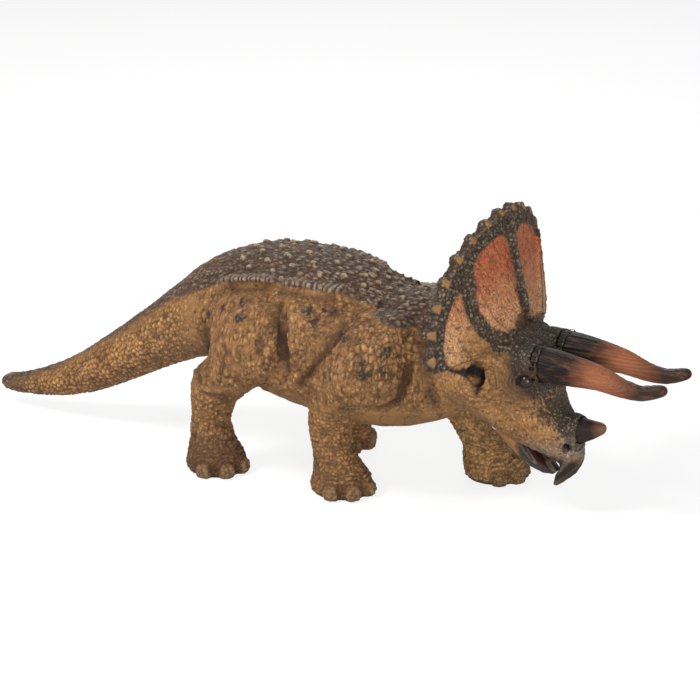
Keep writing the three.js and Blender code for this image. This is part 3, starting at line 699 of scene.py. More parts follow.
# %% Scales of the sides
bare = (1 - back) * (1 - on_head)
flank = bare * fade(x, -36, -28) * fade(z, 24, 32)
warty = fade(slow_noise(body.points, 7, 31), -0.1, 0.5)
shoulder = 1 - fade(to_spot(side_view, (36, 46), (9, 9)), 0.7, 1.2)
add_plates(flank, (1.3, 1.3, 2), 0.24, 33, wash=0.5)
add_plates(flank * np.maximum(warty, shoulder), (2, 2, 2.6), 0.42, 34, wash=0.95)
add_creases(flank, (1.1, 1.1, 3.2), 0.34, 0.15, 35, wash=1)
add_creases(flank, (2, 2, 6), 0.46, 0.1, 36, wash=1)
add_creases(flank, (4.5, 4.5, 14), 0.55, 0.045, 38, wash=1)
add_creases(flank * on_leg * (1 - fade(z, 34, 42)), (6, 6, 1.5), 0.3, 0.1, 37)
print("groove points", int((groove > 0.5).sum()))

# %% [markdown]
# Legs have rounder scales and creases that run across, because legs bend. The tail is covered in oval
# plates in rings, so they are counted along a line that slopes as the tail does. A few single warts
# stand on the thigh and the shoulder.

# %% Legs, tail and warts
shin = bare * on_leg * (1 - fade(z, 24, 32))
add_plates(shin, (1.5, 1.5, 1.25), 0.34, 41, wash=0.75)
add_creases(shin, (1.2, 1.2, 2), 0.32, 0.13, 42)
add_creases(shin * fade(z, 4, 9), (6, 6, 1.3), 0.45, 0.12, 43, wash=1)

tail_slope = radians(22)
along_tail = x * cos(tail_slope) + z * sin(tail_slope)
across_tail = z * cos(tail_slope) - x * sin(tail_slope)
tail_side = (1 - back) * on_tail
tail_places = np.stack([along_tail, y, across_tail], axis=1)
add_plates(tail_side, (1.5, 1.7, 1.5), 0.42, 45, wash=0.95, counted=tail_places)
add_creases(tail_side, (1.3, 5, 5), 0.3, 0.11, 47, counted=tail_places)

belly = bare * fade(-body.facing[:, 2], 0.2, 0.7)
add_creases(belly, (2.2, 8, 3), 0.18, 0.08, 49)
warts = [
    (-23, 56.5), (-17, 55), (-10, 53), (-13, 48), (-8, 45), (-12, 41), (-5, 54), (5.5, 56), (7, 53.5),
    (-20, 46), (-16, 42), (-10, 37), (33, 49), (28, 45), (24, 42)]
for spot in warts:
    wart = bare * sideways * np.exp(-to_spot(side_view, spot, (0.85, 0.85)) ** 2)
    relief += 0.5 * wart
    mark(crown, 0.8 * wart)
print("deepest groove", round(float(relief.min()), 2), "mm")

# %% [markdown]
# ## Feet
#
# Each foot has three rounded nails in front. The skin rises in rings above each nail, as over a
# knuckle, and the toes part in a shallow furrow. The nails stand where the packed model has them: round
# the middle of each sole, at fixed angles. They could be modelled one by one, but a loop over four feet
# and three angles presses all twelve alike.

# %% Sizes of the feet
# Degrees from straight ahead, outwards.
toe_angles = {
    "right_hind": (-12, 38, 86), "right_fore": (-10, 40, 84),
    "left_hind": (-40, 4, 48), "left_fore": (-56, -12, 30)}
foot_reach = (9.3, 8.8)  # from the middle of the sole, ahead and aside
nail_place = 0.84  # as a share of that reach
nail_size = np.array((2.6, 2.6, 2.7))
nail_height = 2.2
ring_pitch = 0.36  # as a share of the nail's size
print("nails", sum(len(angles) for angles in toe_angles.values()))

# %% [markdown]
# Each nail is a stretched ball, and `gap` counts the distance from its middle in nail sizes. So one
# number tells the nail from its cuticle, and both from the rings of skin behind them.

# %% Toes
nail = np.zeros(len(x))
for sole in soles:
    side = np.sign(sole[1])
    toes = toe_angles[("left" if side > 0 else "right") + ("_fore" if sole[0] > 0 else "_hind")]
    near_foot = 1 - fade(to_spot(body.points, sole, (1, 1, 1.4)), 11, 13)
    for angle in toes:
        turn = radians(angle)
        reach = np.array((cos(turn) * foot_reach[0], side * sin(turn) * foot_reach[1], 0))
        heading = reach / np.linalg.norm(reach)
        aside = np.array((-heading[1], heading[0], 0))
        from_nail = body.points - (sole + reach * nail_place + (0, 0, nail_height))
        forward, sidelong, upward = from_nail @ heading, from_nail @ aside, from_nail[:, 2]
        gap = np.linalg.norm(np.stack([forward, sidelong, upward], axis=1) / nail_size, axis=1)
        this_nail = near_foot * (1 - fade(gap, 0.95, 1.12)) * fade(forward, -1.4, -0.4)
        mark(nail, this_nail)
        relief += 0.35 * this_nail
        cuticle = near_foot * np.exp(-((gap - 1.18) / 0.09) ** 2)
        relief -= 0.4 * cuticle
        mark(groove, 0.9 * cuticle)
        over_toe = near_foot * fade(upward, 0.5, 2) * (1 - fade(np.abs(sidelong), 2.2, 3.6))
        rings = over_toe * (1 - fade(gap, 2.2, 2.9)) * fade(gap, 1.2, 1.4)
        ripple = np.cos((gap - 1.4) * 2 * np.pi / ring_pitch)
        relief += 0.3 * rings * ripple
        mark(groove, 0.85 * rings * fade(-ripple, 0.2, 0.9))
    for first, second in zip(toes[:-1], toes[1:]):
        turn = radians((first + second) / 2)
        reach = np.array((cos(turn) * foot_reach[0], side * sin(turn) * foot_reach[1], 0))
        path = [sole + reach * 0.55 + (0, 0, 7), sole + reach * 0.95 + (0, 0, 4), sole + reach * 1.02]
        add_fold(body.points, path, 1.1, 1.3, near_foot)
print("nail points", int((nail > 0.5).sum()))

# %% [markdown]
# ## The frill
#
# The neck shield is a fan. Its details could be placed by height and width, but then each would need a
# sum of its own for the curve of the shield. So they are counted the way a fan is: in degrees from the
# crown, and in how far out they lie, from 0 at the hub to 1 at the rim. `ahead` is how far a point lies
# in front of the fan's middle surface.

# %% Measure of the fan
# The sizes of the packed frill, in millimetres. The span of each side is in degrees.
hub_x, hub_z = 66.6, 51.1
frill_half_width = 35
frill_rise = 35.2
frill_sweep, frill_lean, frill_flare = 9, 4.4, 5
frill_span = 96

fan_side = wide / frill_half_width
fan_up = (z - hub_z) / frill_rise
fan_angle = np.degrees(np.arctan2(fan_side, fan_up))
fan_out = np.hypot(fan_side, fan_up)
fan_x = hub_x - frill_sweep * fan_side ** 2.1 - frill_lean * np.maximum(fan_up, 0)
fan_x += frill_flare * np.clip(1 - fan_out, 0, 1) ** 3
ahead = x - fan_x
in_fan = on_head * fade(fan_out, 0.12, 0.2) * (1 - fade(fan_angle, frill_span - 2, frill_span + 4))
front = in_fan * fade(ahead, -2.4, -1) * (1 - fade(ahead, 2.6, 5))
rear = in_fan * (1 - fade(ahead, -2.4, -1))
print("points on the front of the fan", int((front > 0.5).sum()))

# %% [markdown]
# Smooth leathery fields lie a little lower than the pebbled borders between them. Their outlines are
# written in the measure of the fan, and `inside` tells how deep a point lies in an outline. A little
# noise on that depth makes the painted edge uneven, as a brush does.

# %% Fields of the frill
def fan_outline(rows):
    """Corners in degrees and shares turned into places seen from the front."""
    turn = np.radians([row[0] for row in rows])
    reach = np.array([row[1] for row in rows])
    return np.stack([
        frill_half_width * reach * np.sin(turn), hub_z + frill_rise * reach * np.cos(turn)], axis=1)


def inside(points, outline):
    """How deep points lie in an outline, in millimetres. Outside it the number is negative."""
    closed = np.concatenate([outline, outline[:1]])
    odd = np.zeros(len(points), dtype=bool)
    for (x0, z0), (x1, z1) in zip(closed[:-1], closed[1:]):
        spans = (z0 > points[:, 1]) != (z1 > points[:, 1])
        crossing = x0 + (points[:, 1] - z0) * (x1 - x0) / (z1 - z0 + 1e-9)
        odd ^= spans & (points[:, 0] < crossing)
    return to_path(points, closed) * np.where(odd, 1, -1)


# Degrees from the crown, and shares of the way from hub to rim.
upper_field = fan_outline([
    (4.9, 0.8), (12, 0.87), (20.6, 0.885), (33, 0.9), (44, 0.86), (51, 0.75), (61, 0.62), (70, 0.47),
    (73, 0.34), (58, 0.2), (38, 0.16), (22, 0.2), (10, 0.34), (5.5, 0.48), (4.8, 0.59)])
lower_field = fan_outline([
    (54, 0.88), (62, 0.91), (73, 0.92), (85, 0.93), (92.5, 0.9), (98, 0.8), (101, 0.5), (96, 0.44),
    (86, 0.47), (76, 0.6), (67, 0.72), (59, 0.81)])
in_fields = np.maximum(inside(front_view, upper_field), inside(front_view, lower_field))
brushed_edge = 0.25 * slow_noise(body.points, 1.2, 50)
field = front * fade(in_fields + brushed_edge, -0.2, 0.6)
outer = fade(fan_out, 0.5, 0.66) + (fan_angle < 74)
rim_of_field = front * np.clip(outer, 0, 1) * np.exp(-(in_fields / 0.45) ** 2)
relief += 0.25 * rim_of_field - 0.45 * field * np.clip(outer, 0, 1)
mark(groove, 0.5 * rim_of_field)
print("field points", int((field > 0.5).sum()))

# %% [markdown]
# The borders are pebbled. A thin seam runs down to the ear, and a raised crest up the middle. The fields
# have fine flecks that spread out from the hub, so their plates are counted in fan measure too.

# %% Borders, flecks and crest
border = front * (1 - field) * (1 - fade(fan_out, 0.97, 1))
add_plates(border, 1.2, 0.4, 51, top=0.16)
fan_places = np.stack([fan_angle / 3.2, fan_out * 7, 0 * x], axis=1)
add_creases(field, (0.6, 0.42, 1), 0.2, 0.16, 53, counted=fan_places)
add_creases(field, (1.1, 0.9, 1), 0.2, 0.1, 54, counted=fan_places)
add_plates(field, (0.8, 0.3, 1), 0.1, 55, wash=0.3, counted=fan_places)
suture = to_path(front_view, fan_outline([
    (27, 0.99), (44, 0.93), (56, 0.76), (68, 0.6), (85, 0.33), (91, 0.325)]))
seam = front * np.exp(-(suture / 0.5) ** 2)
relief -= 0.3 * seam
mark(groove, 0.5 * seam)
crest = front * np.exp(-(wide / 1.1) ** 2) * fade(fan_out, 0.15, 0.25)
crest_foot = front * np.exp(-((wide - 2) / 0.5) ** 2) * fade(fan_out, 0.2, 0.3)
relief += 0.3 * crest - 0.3 * crest_foot
mark(groove, 0.7 * crest_foot)
crest_top = front * np.exp(-(wide / 0.7) ** 2) * fade(fan_out, 0.3, 0.4)
mark(crown, crest_top)
print("crest points", int((crest > 0.5).sum()))

# %% [markdown]
# Eight bony knobs stand on each side of the rim. The packed model has their form, so what is left is a
# mask for the paint on their tips, a dark line at their feet and small pebbles between them. The rear
# of the frill is seen from behind only, and gets coarse plates.

# %% Knobs of the rim
knobs_per_side = 8
knob_step = frill_span / knobs_per_side
from_knob = (fan_angle / knob_step) % 1 - 0.5
at_rim = in_fan * fade(fan_out, 0.92, 0.95)
from_tip_of_knob = np.stack([from_knob / 0.22, (fan_out - 1.015) / 0.05, (ahead - 0.6) / 1.7])
knob_gap = np.sqrt((from_tip_of_knob ** 2).sum(axis=0))
knobs = at_rim * (1 - fade(knob_gap, 0.7, 1.1)) * fade(ahead, -5.5, -4.5)
knob_foot = in_fan * fade(fan_out, 0.93, 0.97) * np.exp(-((np.abs(from_knob) - 0.28) / 0.04) ** 2)
mark(groove, 0.7 * knob_foot)
edge = in_fan * fade(fan_out, 0.94, 0.98) * (1 - knobs)
dark_rim = in_fan * fade(fan_out, 0.86, 0.9) * (1 - knobs) * (1 - field)
add_plates(edge, 1.2, 0.12, 52, top=0.16)
add_plates(rear, 2.2, 0.3, 57)
add_creases(rear, (1, 3, 1), 0.25, 0.08, 59, counted=fan_places)
print("knob points", int((knobs > 0.5).sum()))

# %% [markdown]
# ## The face
#
# Everything on the face is placed by its distance from a few spots: eye, ear hollow, nostril, horn
# roots and the tip of the beak. So the spots are named first, and each distance is worked out once.

# %% Places of the face
eye_place = (74.4, 13.6, 42)
ear_place = (61.6, 17.9, 42.3)
nostril_place = (83.6, 4.2, 21.8)
beak_tip = np.array((78.9, 0, 8.4))
brow_horn_place = (77.5, 8.4, 46.2)
nose_horn_place = (83.5, 0, 25.8)
head_up = np.array((0.743, 0, 0.669))
eye_size = 2.1

skull = on_head * (1 - in_fan)
from_eye = np.min([to_spot(body.points, spot, (1.08, 1, 0.88)) for spot in mirrored(*eye_place)], axis=0)
from_ear = np.min([to_spot(body.points, spot, (1, 1, 1.25)) for spot in mirrored(*ear_place)], axis=0)
from_nostril = np.min(
    [to_spot(body.points, spot, (1.1, 1, 0.9)) for spot in mirrored(*nostril_place)], axis=0)
from_horns = np.min([to_spot(body.points, spot) for spot in mirrored(*brow_horn_place)], axis=0)
from_nose_horn = to_spot(body.points, nose_horn_place)
from_tip = to_spot(body.points, beak_tip)
print("skull points", int((skull > 0.5).sum()))

# %% [markdown]
# The lids are rings of skin round the eye, heaviest close to it, as on a lizard. A cosine of the distance
# from the eye makes the rings. Slow noise makes them wander and fade, because even rings would look
# turned on a lathe. Inside them is the socket for the eye.

# %% Lids
lids = skull * fade(from_eye, eye_size, eye_size + 0.5) * (1 - fade(from_eye, 4.5, 7))
wandering = 0.5 * slow_noise(body.points, 2.4, 60)
lid_ripple = np.cos(2 * np.pi * (from_eye - 2.7 + wandering * fade(from_eye, 3, 4)) / 1.05)
lid_height = 0.22 * (1 - fade(from_eye, 3.4, 5)) + 0.1
relief += lid_height * lids * lid_ripple
mark(groove, 0.8 * lids * fade(-lid_ripple, 0.3, 1))
socket = skull * (1 - fade(from_eye, eye_size - 0.2, eye_size + 0.4))
relief -= 0.5 * socket
mark(groove, socket)
print("lid points", int((lids > 0.5).sum()))

# %% [markdown]
# The ear hollow is a dark comma, wide in the middle and thin at both ends. It is drawn as a bent stroke
# whose reach changes from bend to bend. Wrinkles run round it as well, and the nostril is a plain spot.

# %% Ear and nostril
rough_edge = 0.5 * slow_noise(body.points, 0.9, 62)
# For each bend: how far ahead of the hollow's middle and above it, and the reach of the stroke there.
ear_bends = [
    ((-8.5, 1.4), 0.3), ((-5.2, 1.9), 0.8), ((-1.2, 2), 1.5), ((1.3, 0.6), 1.5), ((1.2, -2.4), 1),
    ((0.2, -5), 0.3)]
in_ear = np.full(len(x), -9.0)  # far outside, until a bend turns out to be nearer
for (start, near), (end, far) in zip(ear_bends[:-1], ear_bends[1:]):
    start, run = np.array(start), np.subtract(end, start)
    aside = side_view - (ear_place[0], ear_place[2]) - start
    share = np.clip(aside @ run / (run @ run), 0, 1)
    gap = np.linalg.norm(aside - share[:, None] * run, axis=1)
    in_ear = np.maximum(in_ear, near + share * (far - near) - gap)
ear = on_head * (1 - field) * fade(in_ear + rough_edge, -0.7, 0.7) * fade(wide, 9, 11)
relief -= 0.5 * ear
ear_rings = skull * fade(from_ear, 3.6, 4.2) * (1 - fade(from_ear, 6, 9))
ear_ripple = np.cos(2 * np.pi * (from_ear - 2.5 + 1.6 * wandering) / 1.5)
relief += 0.2 * ear_rings * ear_ripple
mark(groove, 0.6 * ear_rings * fade(-ear_ripple, 0.4, 1))
nostril = skull * (1 - fade(from_nostril, 0.8, 1.9))
print("ear points", int((ear > 0.5).sum()))

# %% [markdown]
# The beak is horn, with lines that run back from its tip, so they are counted in directions and
# distances from the tip. The rest of the skull takes small pebbles and creases.

# %% Beak and skull
beak = on_head * (1 - fade(from_tip, 10, 13.5))
line_of_beak = np.arctan2(x - beak_tip[0] + 4, z - beak_tip[2] + 3)
beak_places = np.stack([line_of_beak * 12, from_tip, y], axis=1)
beak_lines = fade(slow_noise(beak_places, np.array((0.55, 9, 5)), 61), 0.1, 0.55)
relief += 0.16 * beak * (beak_lines - 0.5)
pebbled = skull * (1 - beak) * (1 - lids) * (1 - ear)
add_plates(pebbled, 1.1, 0.16, 63, wash=0.25)
add_creases(pebbled, (1, 1, 1.5), 0.2, 0.13, 64, wash=0.7)
add_creases(pebbled * fade(from_eye, 5, 7), (4, 4, 1.6), 0.3, 0.09, 65)
print("beak points", int((beak > 0.5).sum()))

# %% [markdown]
# ## Pressing
#
# Now the whole relief is pressed in at once. Points that would stand up as spikes are drawn back among
# their neighbours, as a wet brush does on clay, and nothing is left under the floor.

# %% Press the relief
sole_edge = 0.8  # the relief runs out above the flat soles
relief *= fade(z, 0, sole_edge)
body.push(relief)
body.despike(0.6 * square, 4)
body.points[:, 2] = np.maximum(body.points[:, 2], 0)
body.settle()
print("relief from", round(float(relief.min()), 2), "to", round(float(relief.max()), 2), "mm")

# %% [markdown]
# ## Masks for the painter
#
# The painter works in regions: black blotches on the sides, a smoky crown between the horns, cuffs round
# their roots. Each region is a number for each point, made from the same measures as the relief, and
# `ragged` noise gives it the edge of a brush.

# %% Blotches and smoky crown
# For each blotch: its place seen from the side, and its radius.
blotches = [
    ((37, 47.5), 1.6), ((31, 44.5), 1.3), ((31.5, 41.5), 2), ((36, 42), 1.2), ((-9.5, 51.5), 1.9),
    ((-17, 53), 1.2), ((-10, 55.5), 1.2), ((10, 55.5), 1.3), ((14.5, 55), 1), ((17, 55.5), 1),
    ((12, 52.5), 1.1), ((24, 50), 1.2), ((-25, 48), 1.1)]
ragged = 0.8 * slow_noise(body.points, 1.3, 71)
ragged += 0.6 * slow_noise(body.points, 0.6, 72)
spots = np.zeros(len(x))
for spot, size in blotches:
    gap = np.linalg.norm(side_view - spot, axis=1)
    mark(spots, 1 - fade(gap + 1.4 * ragged, size * 0.6, size * 1.1))

dark_eye = skull * (1 - fade(from_eye + 1.5 * ragged, 4, 12))
over_eye = (body.points - eye_place) @ head_up + 0.8 * ragged
upward = fade(body.facing @ head_up + 0.12 * ragged, 0.42, 0.8) * (1 - front)
between_horns = 1 - 0.85 * fade(wide + ragged, 10, 13) * (1 - fade(over_eye, 9, 13))
forehead = on_head * (1 - field) * fade(x, 63, 68) * between_horns
forehead *= np.maximum(upward, fade(over_eye, 6, 9))
horn_cuffs = on_head * np.maximum(1 - fade(from_horns, 8, 11), 1 - fade(from_nose_horn, 5, 7))
print("smoky points", int((forehead > 0.5).sum()))

# %% [markdown]
# Painted shade darkens the skin where the body and head turn under, in the hollows beside the folds and
# behind the frill, on the sides, and low on the legs that face the viewer. It stands in for the shade of
# the lamps. The same layer also carries the brown paint round the eye and darkens the rear of the frill.
# The strongest value counts at each point.

# %% Shade
# A painted shadow under the toes, where they meet the floor.
under_toes = on_leg * (1 - fade(z, 0.6, 1.8)) * (1 - nail)
downward = fade(-body.facing[:, 2], -0.1, 0.8)
# For each hollow: its path seen from the side, and how far the painted shade spreads.
hollows = [
    ([(0.5, 55), (3, 47), (4.4, 38)], 2.4), ([(21, 52), (15.5, 42), (9, 33.5)], 1.8),
    ([(41, 40), (38, 32.5), (34, 29.4), (23, 27.8)], 1.5), ([(44, 52), (47, 40), (47, 32)], 3),
    ([(-26, 44), (-27, 36), (-24, 30)], 2.2), ([(-6, 28), (-12, 25), (-17, 24)], 1.4)]
# Painted shade on every surface of the body that faces down.
shade = 0.45 * downward * (1 - on_head)
for path, reach in hollows:
    mark(shade, 0.95 * sideways * (1 - on_head) * np.exp(-(to_path(side_view, path) / reach) ** 2))
# Painted shade low on the near right legs; the far legs get none.
shaded_near_legs = 0.9 * part["right_hind_leg"] + 0.6 * part["right_foreleg"]
mark(shade, shaded_near_legs * (1 - fade(z, 5, 26)) * (1 - 0.7 * nail))
# Painted shade on the sides.
mark(shade, 0.25 * sideways * (1 - on_head) * (1 - on_tail))
mark(shade, 0.85 * dark_eye)
mark(shade, 0.5 * rear)
# Painted shade under the head.
mark(shade, 0.5 * on_head * downward)
print("shaded points", int((shade > 0.5).sum()))

# %% [markdown]
# The masks go on the skin as named layers, which the paint reads with Attribute nodes. An image would
# need the skin unfolded first. Layers stay with the points, so the paint runs on over every cut.

# %% Layers
body.layers["groove"] = np.clip(groove, 0, 1)
# The far foreleg takes pale paint all over: painted light, as on a leg that more light falls on.
body.layers["crown"] = np.clip(crown + 0.9 * part["left_foreleg"], 0, 1)
body.layers["tone"] = np.clip(tone, 0, 1)
body.layers["back"] = np.maximum(back, 0.8 * beads)
in_lower = inside(front_view, lower_field) > -1
orange = field * fade(fan_out + 0.05 * ragged + 2 * ~in_lower, 0.62, 0.84)
body.layers["orange"] = orange
body.layers["smoke"] = np.clip(
    spots * sideways * (1 - on_head) + 0.2 * dark_eye + 0.95 * border + 0.95 * dark_rim + 0.7 * rear
    + 0.9 * forehead + 0.95 * horn_cuffs + 0.5 * fade(-x, 92, 110) * on_tail, 0, 1)
body.layers["shade"] = np.clip(shade, 0, 1)
# Near-black paint in the ear, nostril and eye sockets, and a painted shadow under the toes.
body.layers["soot"] = np.clip(ear + nostril + 0.6 * under_toes + socket, 0, 1)
body.layers["ochre"] = np.clip(0.85 * knobs * fade(proud, 0.3, 0.9), 0, 1)
body.layers["nail"] = nail
body.layers["beak"] = np.clip(beak, 0, 1)
body.layers["beak_lines"] = beak_lines
body.layers["snout"] = 0.8 * skull * (1 - beak) * (1 - fade(from_tip + 2 * ragged, 12, 20))
print("layers", list(body.layers))

# %% [markdown]
# ## Cutting the skin into castings
#
# The finished sculpt is cut along the seams of the packed pieces, and each cut is closed, because every
# casting is a solid of its own. A Boolean cut is slow on so fine a skin. Here each square goes to the
# piece it is nearest to. The edges of a cut are marked sharp, so that its lid doesn't darken the skin.

# %% Pieces that stand for castings
def write_layers(clay):
    for name, values in clay.layers.items():
        layer_data = clay.mesh.attributes.new(name, "FLOAT", "POINT")
        layer_data.data.foreach_set("value", values.astype(np.float32))


def shade_smooth(mesh):
    for polygon in mesh.polygons:
        polygon.use_smooth = True


def new_piece(name, mesh, node, body_name="figure"):
    """A shown piece that stands for a CAD node, rides a body and hides the node."""
    piece = bpy.data.objects.new(name, mesh)
    scene.collection.objects.link(piece)
    shade_smooth(mesh)
    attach(piece, body_name)
    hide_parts(node)
    return piece


write_layers(body)

# %% [markdown]
# Every square of the skin has four corners, and each corner knows how much it belongs to each piece. The
# piece with the largest sum gets the square. All other squares are deleted from a copy of the skin, and
# what is left open is filled.

# %% Cut along the seams
corners_of = np.empty(len(body.mesh.loops), dtype=np.int64)
body.mesh.loops.foreach_get("vertex_index", corners_of)
corners_of = corners_of.reshape(-1, 4)  # a voxel skin is all squares
share_of_face = np.stack([part[name][corners_of].sum(axis=1) for name in hide_nodes])
owner_of_face = share_of_face.argmax(axis=0)

hide_pieces = {}
for i, name in enumerate(hide_nodes):
    bm = bmesh.new()
    bm.from_mesh(body.mesh)
    bm.faces.ensure_lookup_table()
    others = [bm.faces[k] for k in np.flatnonzero(owner_of_face != i)]
    bmesh.ops.delete(bm, geom=others, context="FACES")
    cut = [edge for edge in bm.edges if edge.is_boundary]
    for edge in cut:
        edge.smooth = False
    bmesh.ops.holes_fill(bm, edges=cut, sides=0)
    mesh = bpy.data.meshes.new(f"cast_{name}")
    bm.to_mesh(mesh)
    bm.free()
    hide_pieces[name] = new_piece(f"cast_{name}", mesh, name)
    print(name, len(mesh.polygons), "faces")

# %% [markdown]
# ## Horns
#
# The horns are castings of their own, with long shallow grooves from root to tip as in real horn. They
# could be turned from a curve and a taper, but the packed horns have the right bend already. So each
# gets a skin, and a cosine of the direction round it presses the grooves. Slow noise lets them wander.

# %% Horns
horn_square = 0.35
thin_swelling = 0.01  # one casting has no seams that have to close
horn_grooves = 26
groove_depth = 0.09


def horn_skin(node, root, tip):
    """The skin of one horn, grooved lengthwise. Its layer along runs from 0 at the root to 1 at the tip."""
    clay = clay_over([node], thin_swelling, horn_square)
    clay.smooth(np.full(len(clay.points), 1.0), 20)
    clay.settle()
    run = np.array(tip) - root
    along = np.clip((clay.points - root) @ run / (run @ run), 0, 1)
    aside = clay.points - (np.array(root) + along[:, None] * run)
    around = np.arctan2(aside[:, 1], aside[:, 2])
    wobble = 0.35 * slow_noise(clay.points, np.array((9, 3, 3)), 81)
    ripple = np.cos(horn_grooves * around + 6 * wobble)
    clay.push(groove_depth * (1 - fade(along, 0.82, 0.98)) * ripple)
    clay.layers["groove"] = fade(-ripple, 0.1, 1) * (1 - fade(along, 0.85, 1))
    clay.layers["along"] = along
    clay.settle()
    write_layers(clay)
    return clay


horn_ends = {
    "right_brow_horn": ((76, -8.6, 46.5), (114.7, -10.5, 45)),
    "left_brow_horn": ((76, 8.6, 46.5), (114.7, 10.5, 45)),
    "nose_horn": ((82, 0, 25.5), (93.3, 0, 27)),
}
horn_pieces = {}
for node, (root, tip) in horn_ends.items():
    clay = horn_skin(node, root, tip)
    horn_pieces[node] = new_piece(f"cast_{node}", clay.mesh, node)
    print(node, len(clay.mesh.polygons), "faces")

# %% [markdown]
# ## Lower jaw and eyes
#
# The lower jaw is a casting that turns on a pin, so it can't be part of the big skin: it gets a skin of
# its own that rides the moving body. Its bill is streaked like the beak. Three layers tell the painter
# where the streaks are, where the mouth's inside is, and where the horny bill begins.

# %% Lower jaw
jaw_square = 0.3
jaw_axes = np.array([(0.8, 0, 0.6), (0, 1, 0), (-0.6, 0, 0.8)])  # up through the jaw, across, back along it

jaw = clay_over(["lower_jaw"], thin_swelling, jaw_square)
jaw.smooth(np.full(len(jaw.points), 1.0), 12)
jaw.settle()
jaw_streak = creases(jaw.points @ jaw_axes.T, np.array((1.1, 3, 7)), 0.1, 91)
jaw.push(-0.14 * jaw_streak)
jaw.settle()
jaw.layers["groove"] = jaw_streak
jaw.layers["mouth"] = fade(jaw.facing @ head_up, 0.2, 0.6)
jaw.layers["horny"] = fade(jaw.points[:, 0] + 0.8 * slow_noise(jaw.points, 1.5, 92), 67, 70)
write_layers(jaw)
jaw_piece = new_piece("cast_lower_jaw", jaw.mesh, "lower_jaw", "jaw")
print("lower jaw", len(jaw.mesh.polygons), "faces")

# %% [markdown]
# The eyes of the toy are spots of glossy paint. Gloss on the rough skin would glitter all over, so each
# eye is a smooth dome of its own: a ball, a little flattened, that is sunk between the lids.

# %% Eyes
eye_shape = (1, 0.8, 0.92)
eye_sunk = 0.75  # as a share of its radius

eyes = []
for side, spot in zip(("right", "left"), mirrored(*eye_place)):
    bm = bmesh.new()
    bmesh.ops.create_uvsphere(bm, u_segments=32, v_segments=20, radius=eye_size * mm)
    inward = np.array((-0.25, -np.sign(spot[1]) * 0.95, -0.1))
    centre = (spot + inward * eye_size * eye_sunk) * mm
    bmesh.ops.scale(bm, verts=bm.verts, vec=eye_shape)
    bmesh.ops.translate(bm, verts=bm.verts, vec=centre)
    mesh = bpy.data.meshes.new(f"eye_{side}")
    bm.to_mesh(mesh)
    bm.free()
    eye = bpy.data.objects.new(f"eye_{side}", mesh)
    scene.collection.objects.link(eye)
    shade_smooth(mesh)
    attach(eye, "figure")
    eyes.append(eye)
print("eyes", [eye.name for eye in eyes])

# %% [markdown]
# ## Paint
#
# The toy is cast in tan vinyl. Dark paint goes on the back and the borders, and orange on the frill. A
# dry brush leaves pale paint on what stands proud, painted light makes the whole far foreleg paler, and
# a thin brown wash runs into every groove.
#
# A colour is written as the painter would match it, in the six digits of a colour picker. Blender
# computes with linear light, so `paint` turns one into the other. `mix` lays one colour over another,
# and `layer` reads a mask of the piece.

# %% Colours and layers
def paint(digits):
    """The linear colour of six hexadecimal digits."""
    parts = [int(digits[i:i + 2], 16) / 255 for i in (0, 2, 4)]
    linear = [p / 12.92 if p <= 0.04045 else ((p + 0.055) / 1.055) ** 2.4 for p in parts]
    return (*linear, 1)


def mix(tree, share, first, second):
    """One colour laid over another by a share from 0 to 1."""
    node = tree.nodes.new("ShaderNodeMix")
    node.data_type = "RGBA"
    # The node has sockets for every kind of value under the same names. These are the ones for colours.
    share_in, first_in, second_in = node.inputs[0], node.inputs[6], node.inputs[7]
    colour_out = node.outputs[2]
    feed(tree, share_in, share)
    feed(tree, first_in, first)
    feed(tree, second_in, second)
    return colour_out


def layer(tree, name):
    """A value that the piece carries at each of its points."""
    node = tree.nodes.new("ShaderNodeAttribute")
    node.attribute_name = name
    return node.outputs["Fac"]


print("linear light of the tan", [round(c, 3) for c in paint("a2784b")])

# %% [markdown]
# Even colour looks like plastic fresh from the mould. Hand paint has clouds, grain and pores. A picture
# of real paint could be laid on, but it would need the skin unfolded. Noise is computed in the material
# from the place of each point, so it has no seams and never repeats.

# %% Grain of the paint
def position(tree, stretch=(1, 1, 1)):
    """Where the surface is, in metres, stretched along the piece's axes."""
    where = tree.nodes.new("ShaderNodeTexCoord")
    mapping = tree.nodes.new("ShaderNodeMapping")
    mapping.inputs["Scale"].default_value = stretch
    tree.links.new(where.outputs["Object"], mapping.inputs["Vector"])
    return mapping.outputs["Vector"]


def grain(tree, size, stretch=(1, 1, 1), detail=3.0, roughness=0.6):
    """Noise whose lumps are about size millimetres wide."""
    node = tree.nodes.new("ShaderNodeTexNoise")
    feed(tree, node.inputs["Vector"], position(tree, stretch))
    node.inputs["Scale"].default_value = 1 / (size * mm)
    node.inputs["Detail"].default_value = detail
    node.inputs["Roughness"].default_value = roughness
    return node.outputs["Fac"]


def cells(tree, size, stretch=(1, 1, 1)):
    """How far the surface is from the edge of its cell, for cells about size millimetres wide."""
    node = tree.nodes.new("ShaderNodeTexVoronoi")
    node.feature = "DISTANCE_TO_EDGE"
    feed(tree, node.inputs["Vector"], position(tree, stretch))
    node.inputs["Scale"].default_value = 1 / (size * mm)
    return node.outputs["Distance"]


print("textures", [helper.__name__ for helper in (grain, cells)])

# %% [markdown]
# Paint has a skin of its own, with pores and brush marks too fine for the sculpt, which would need many
# millions of points for them. A Bump node only bends the light as they would, which costs very little.

# %% Surface of the paint
def raise_surface(tree, shader, height, reach):
    """Bumps the shading: height from 0 to 1 stands for reach millimetres."""
    node = tree.nodes.new("ShaderNodeBump")
    node.inputs["Strength"].default_value = 1
    node.inputs["Distance"].default_value = reach * mm
    feed(tree, node.inputs["Height"], height)
    feed(tree, shader.inputs["Normal"], node.outputs["Normal"])


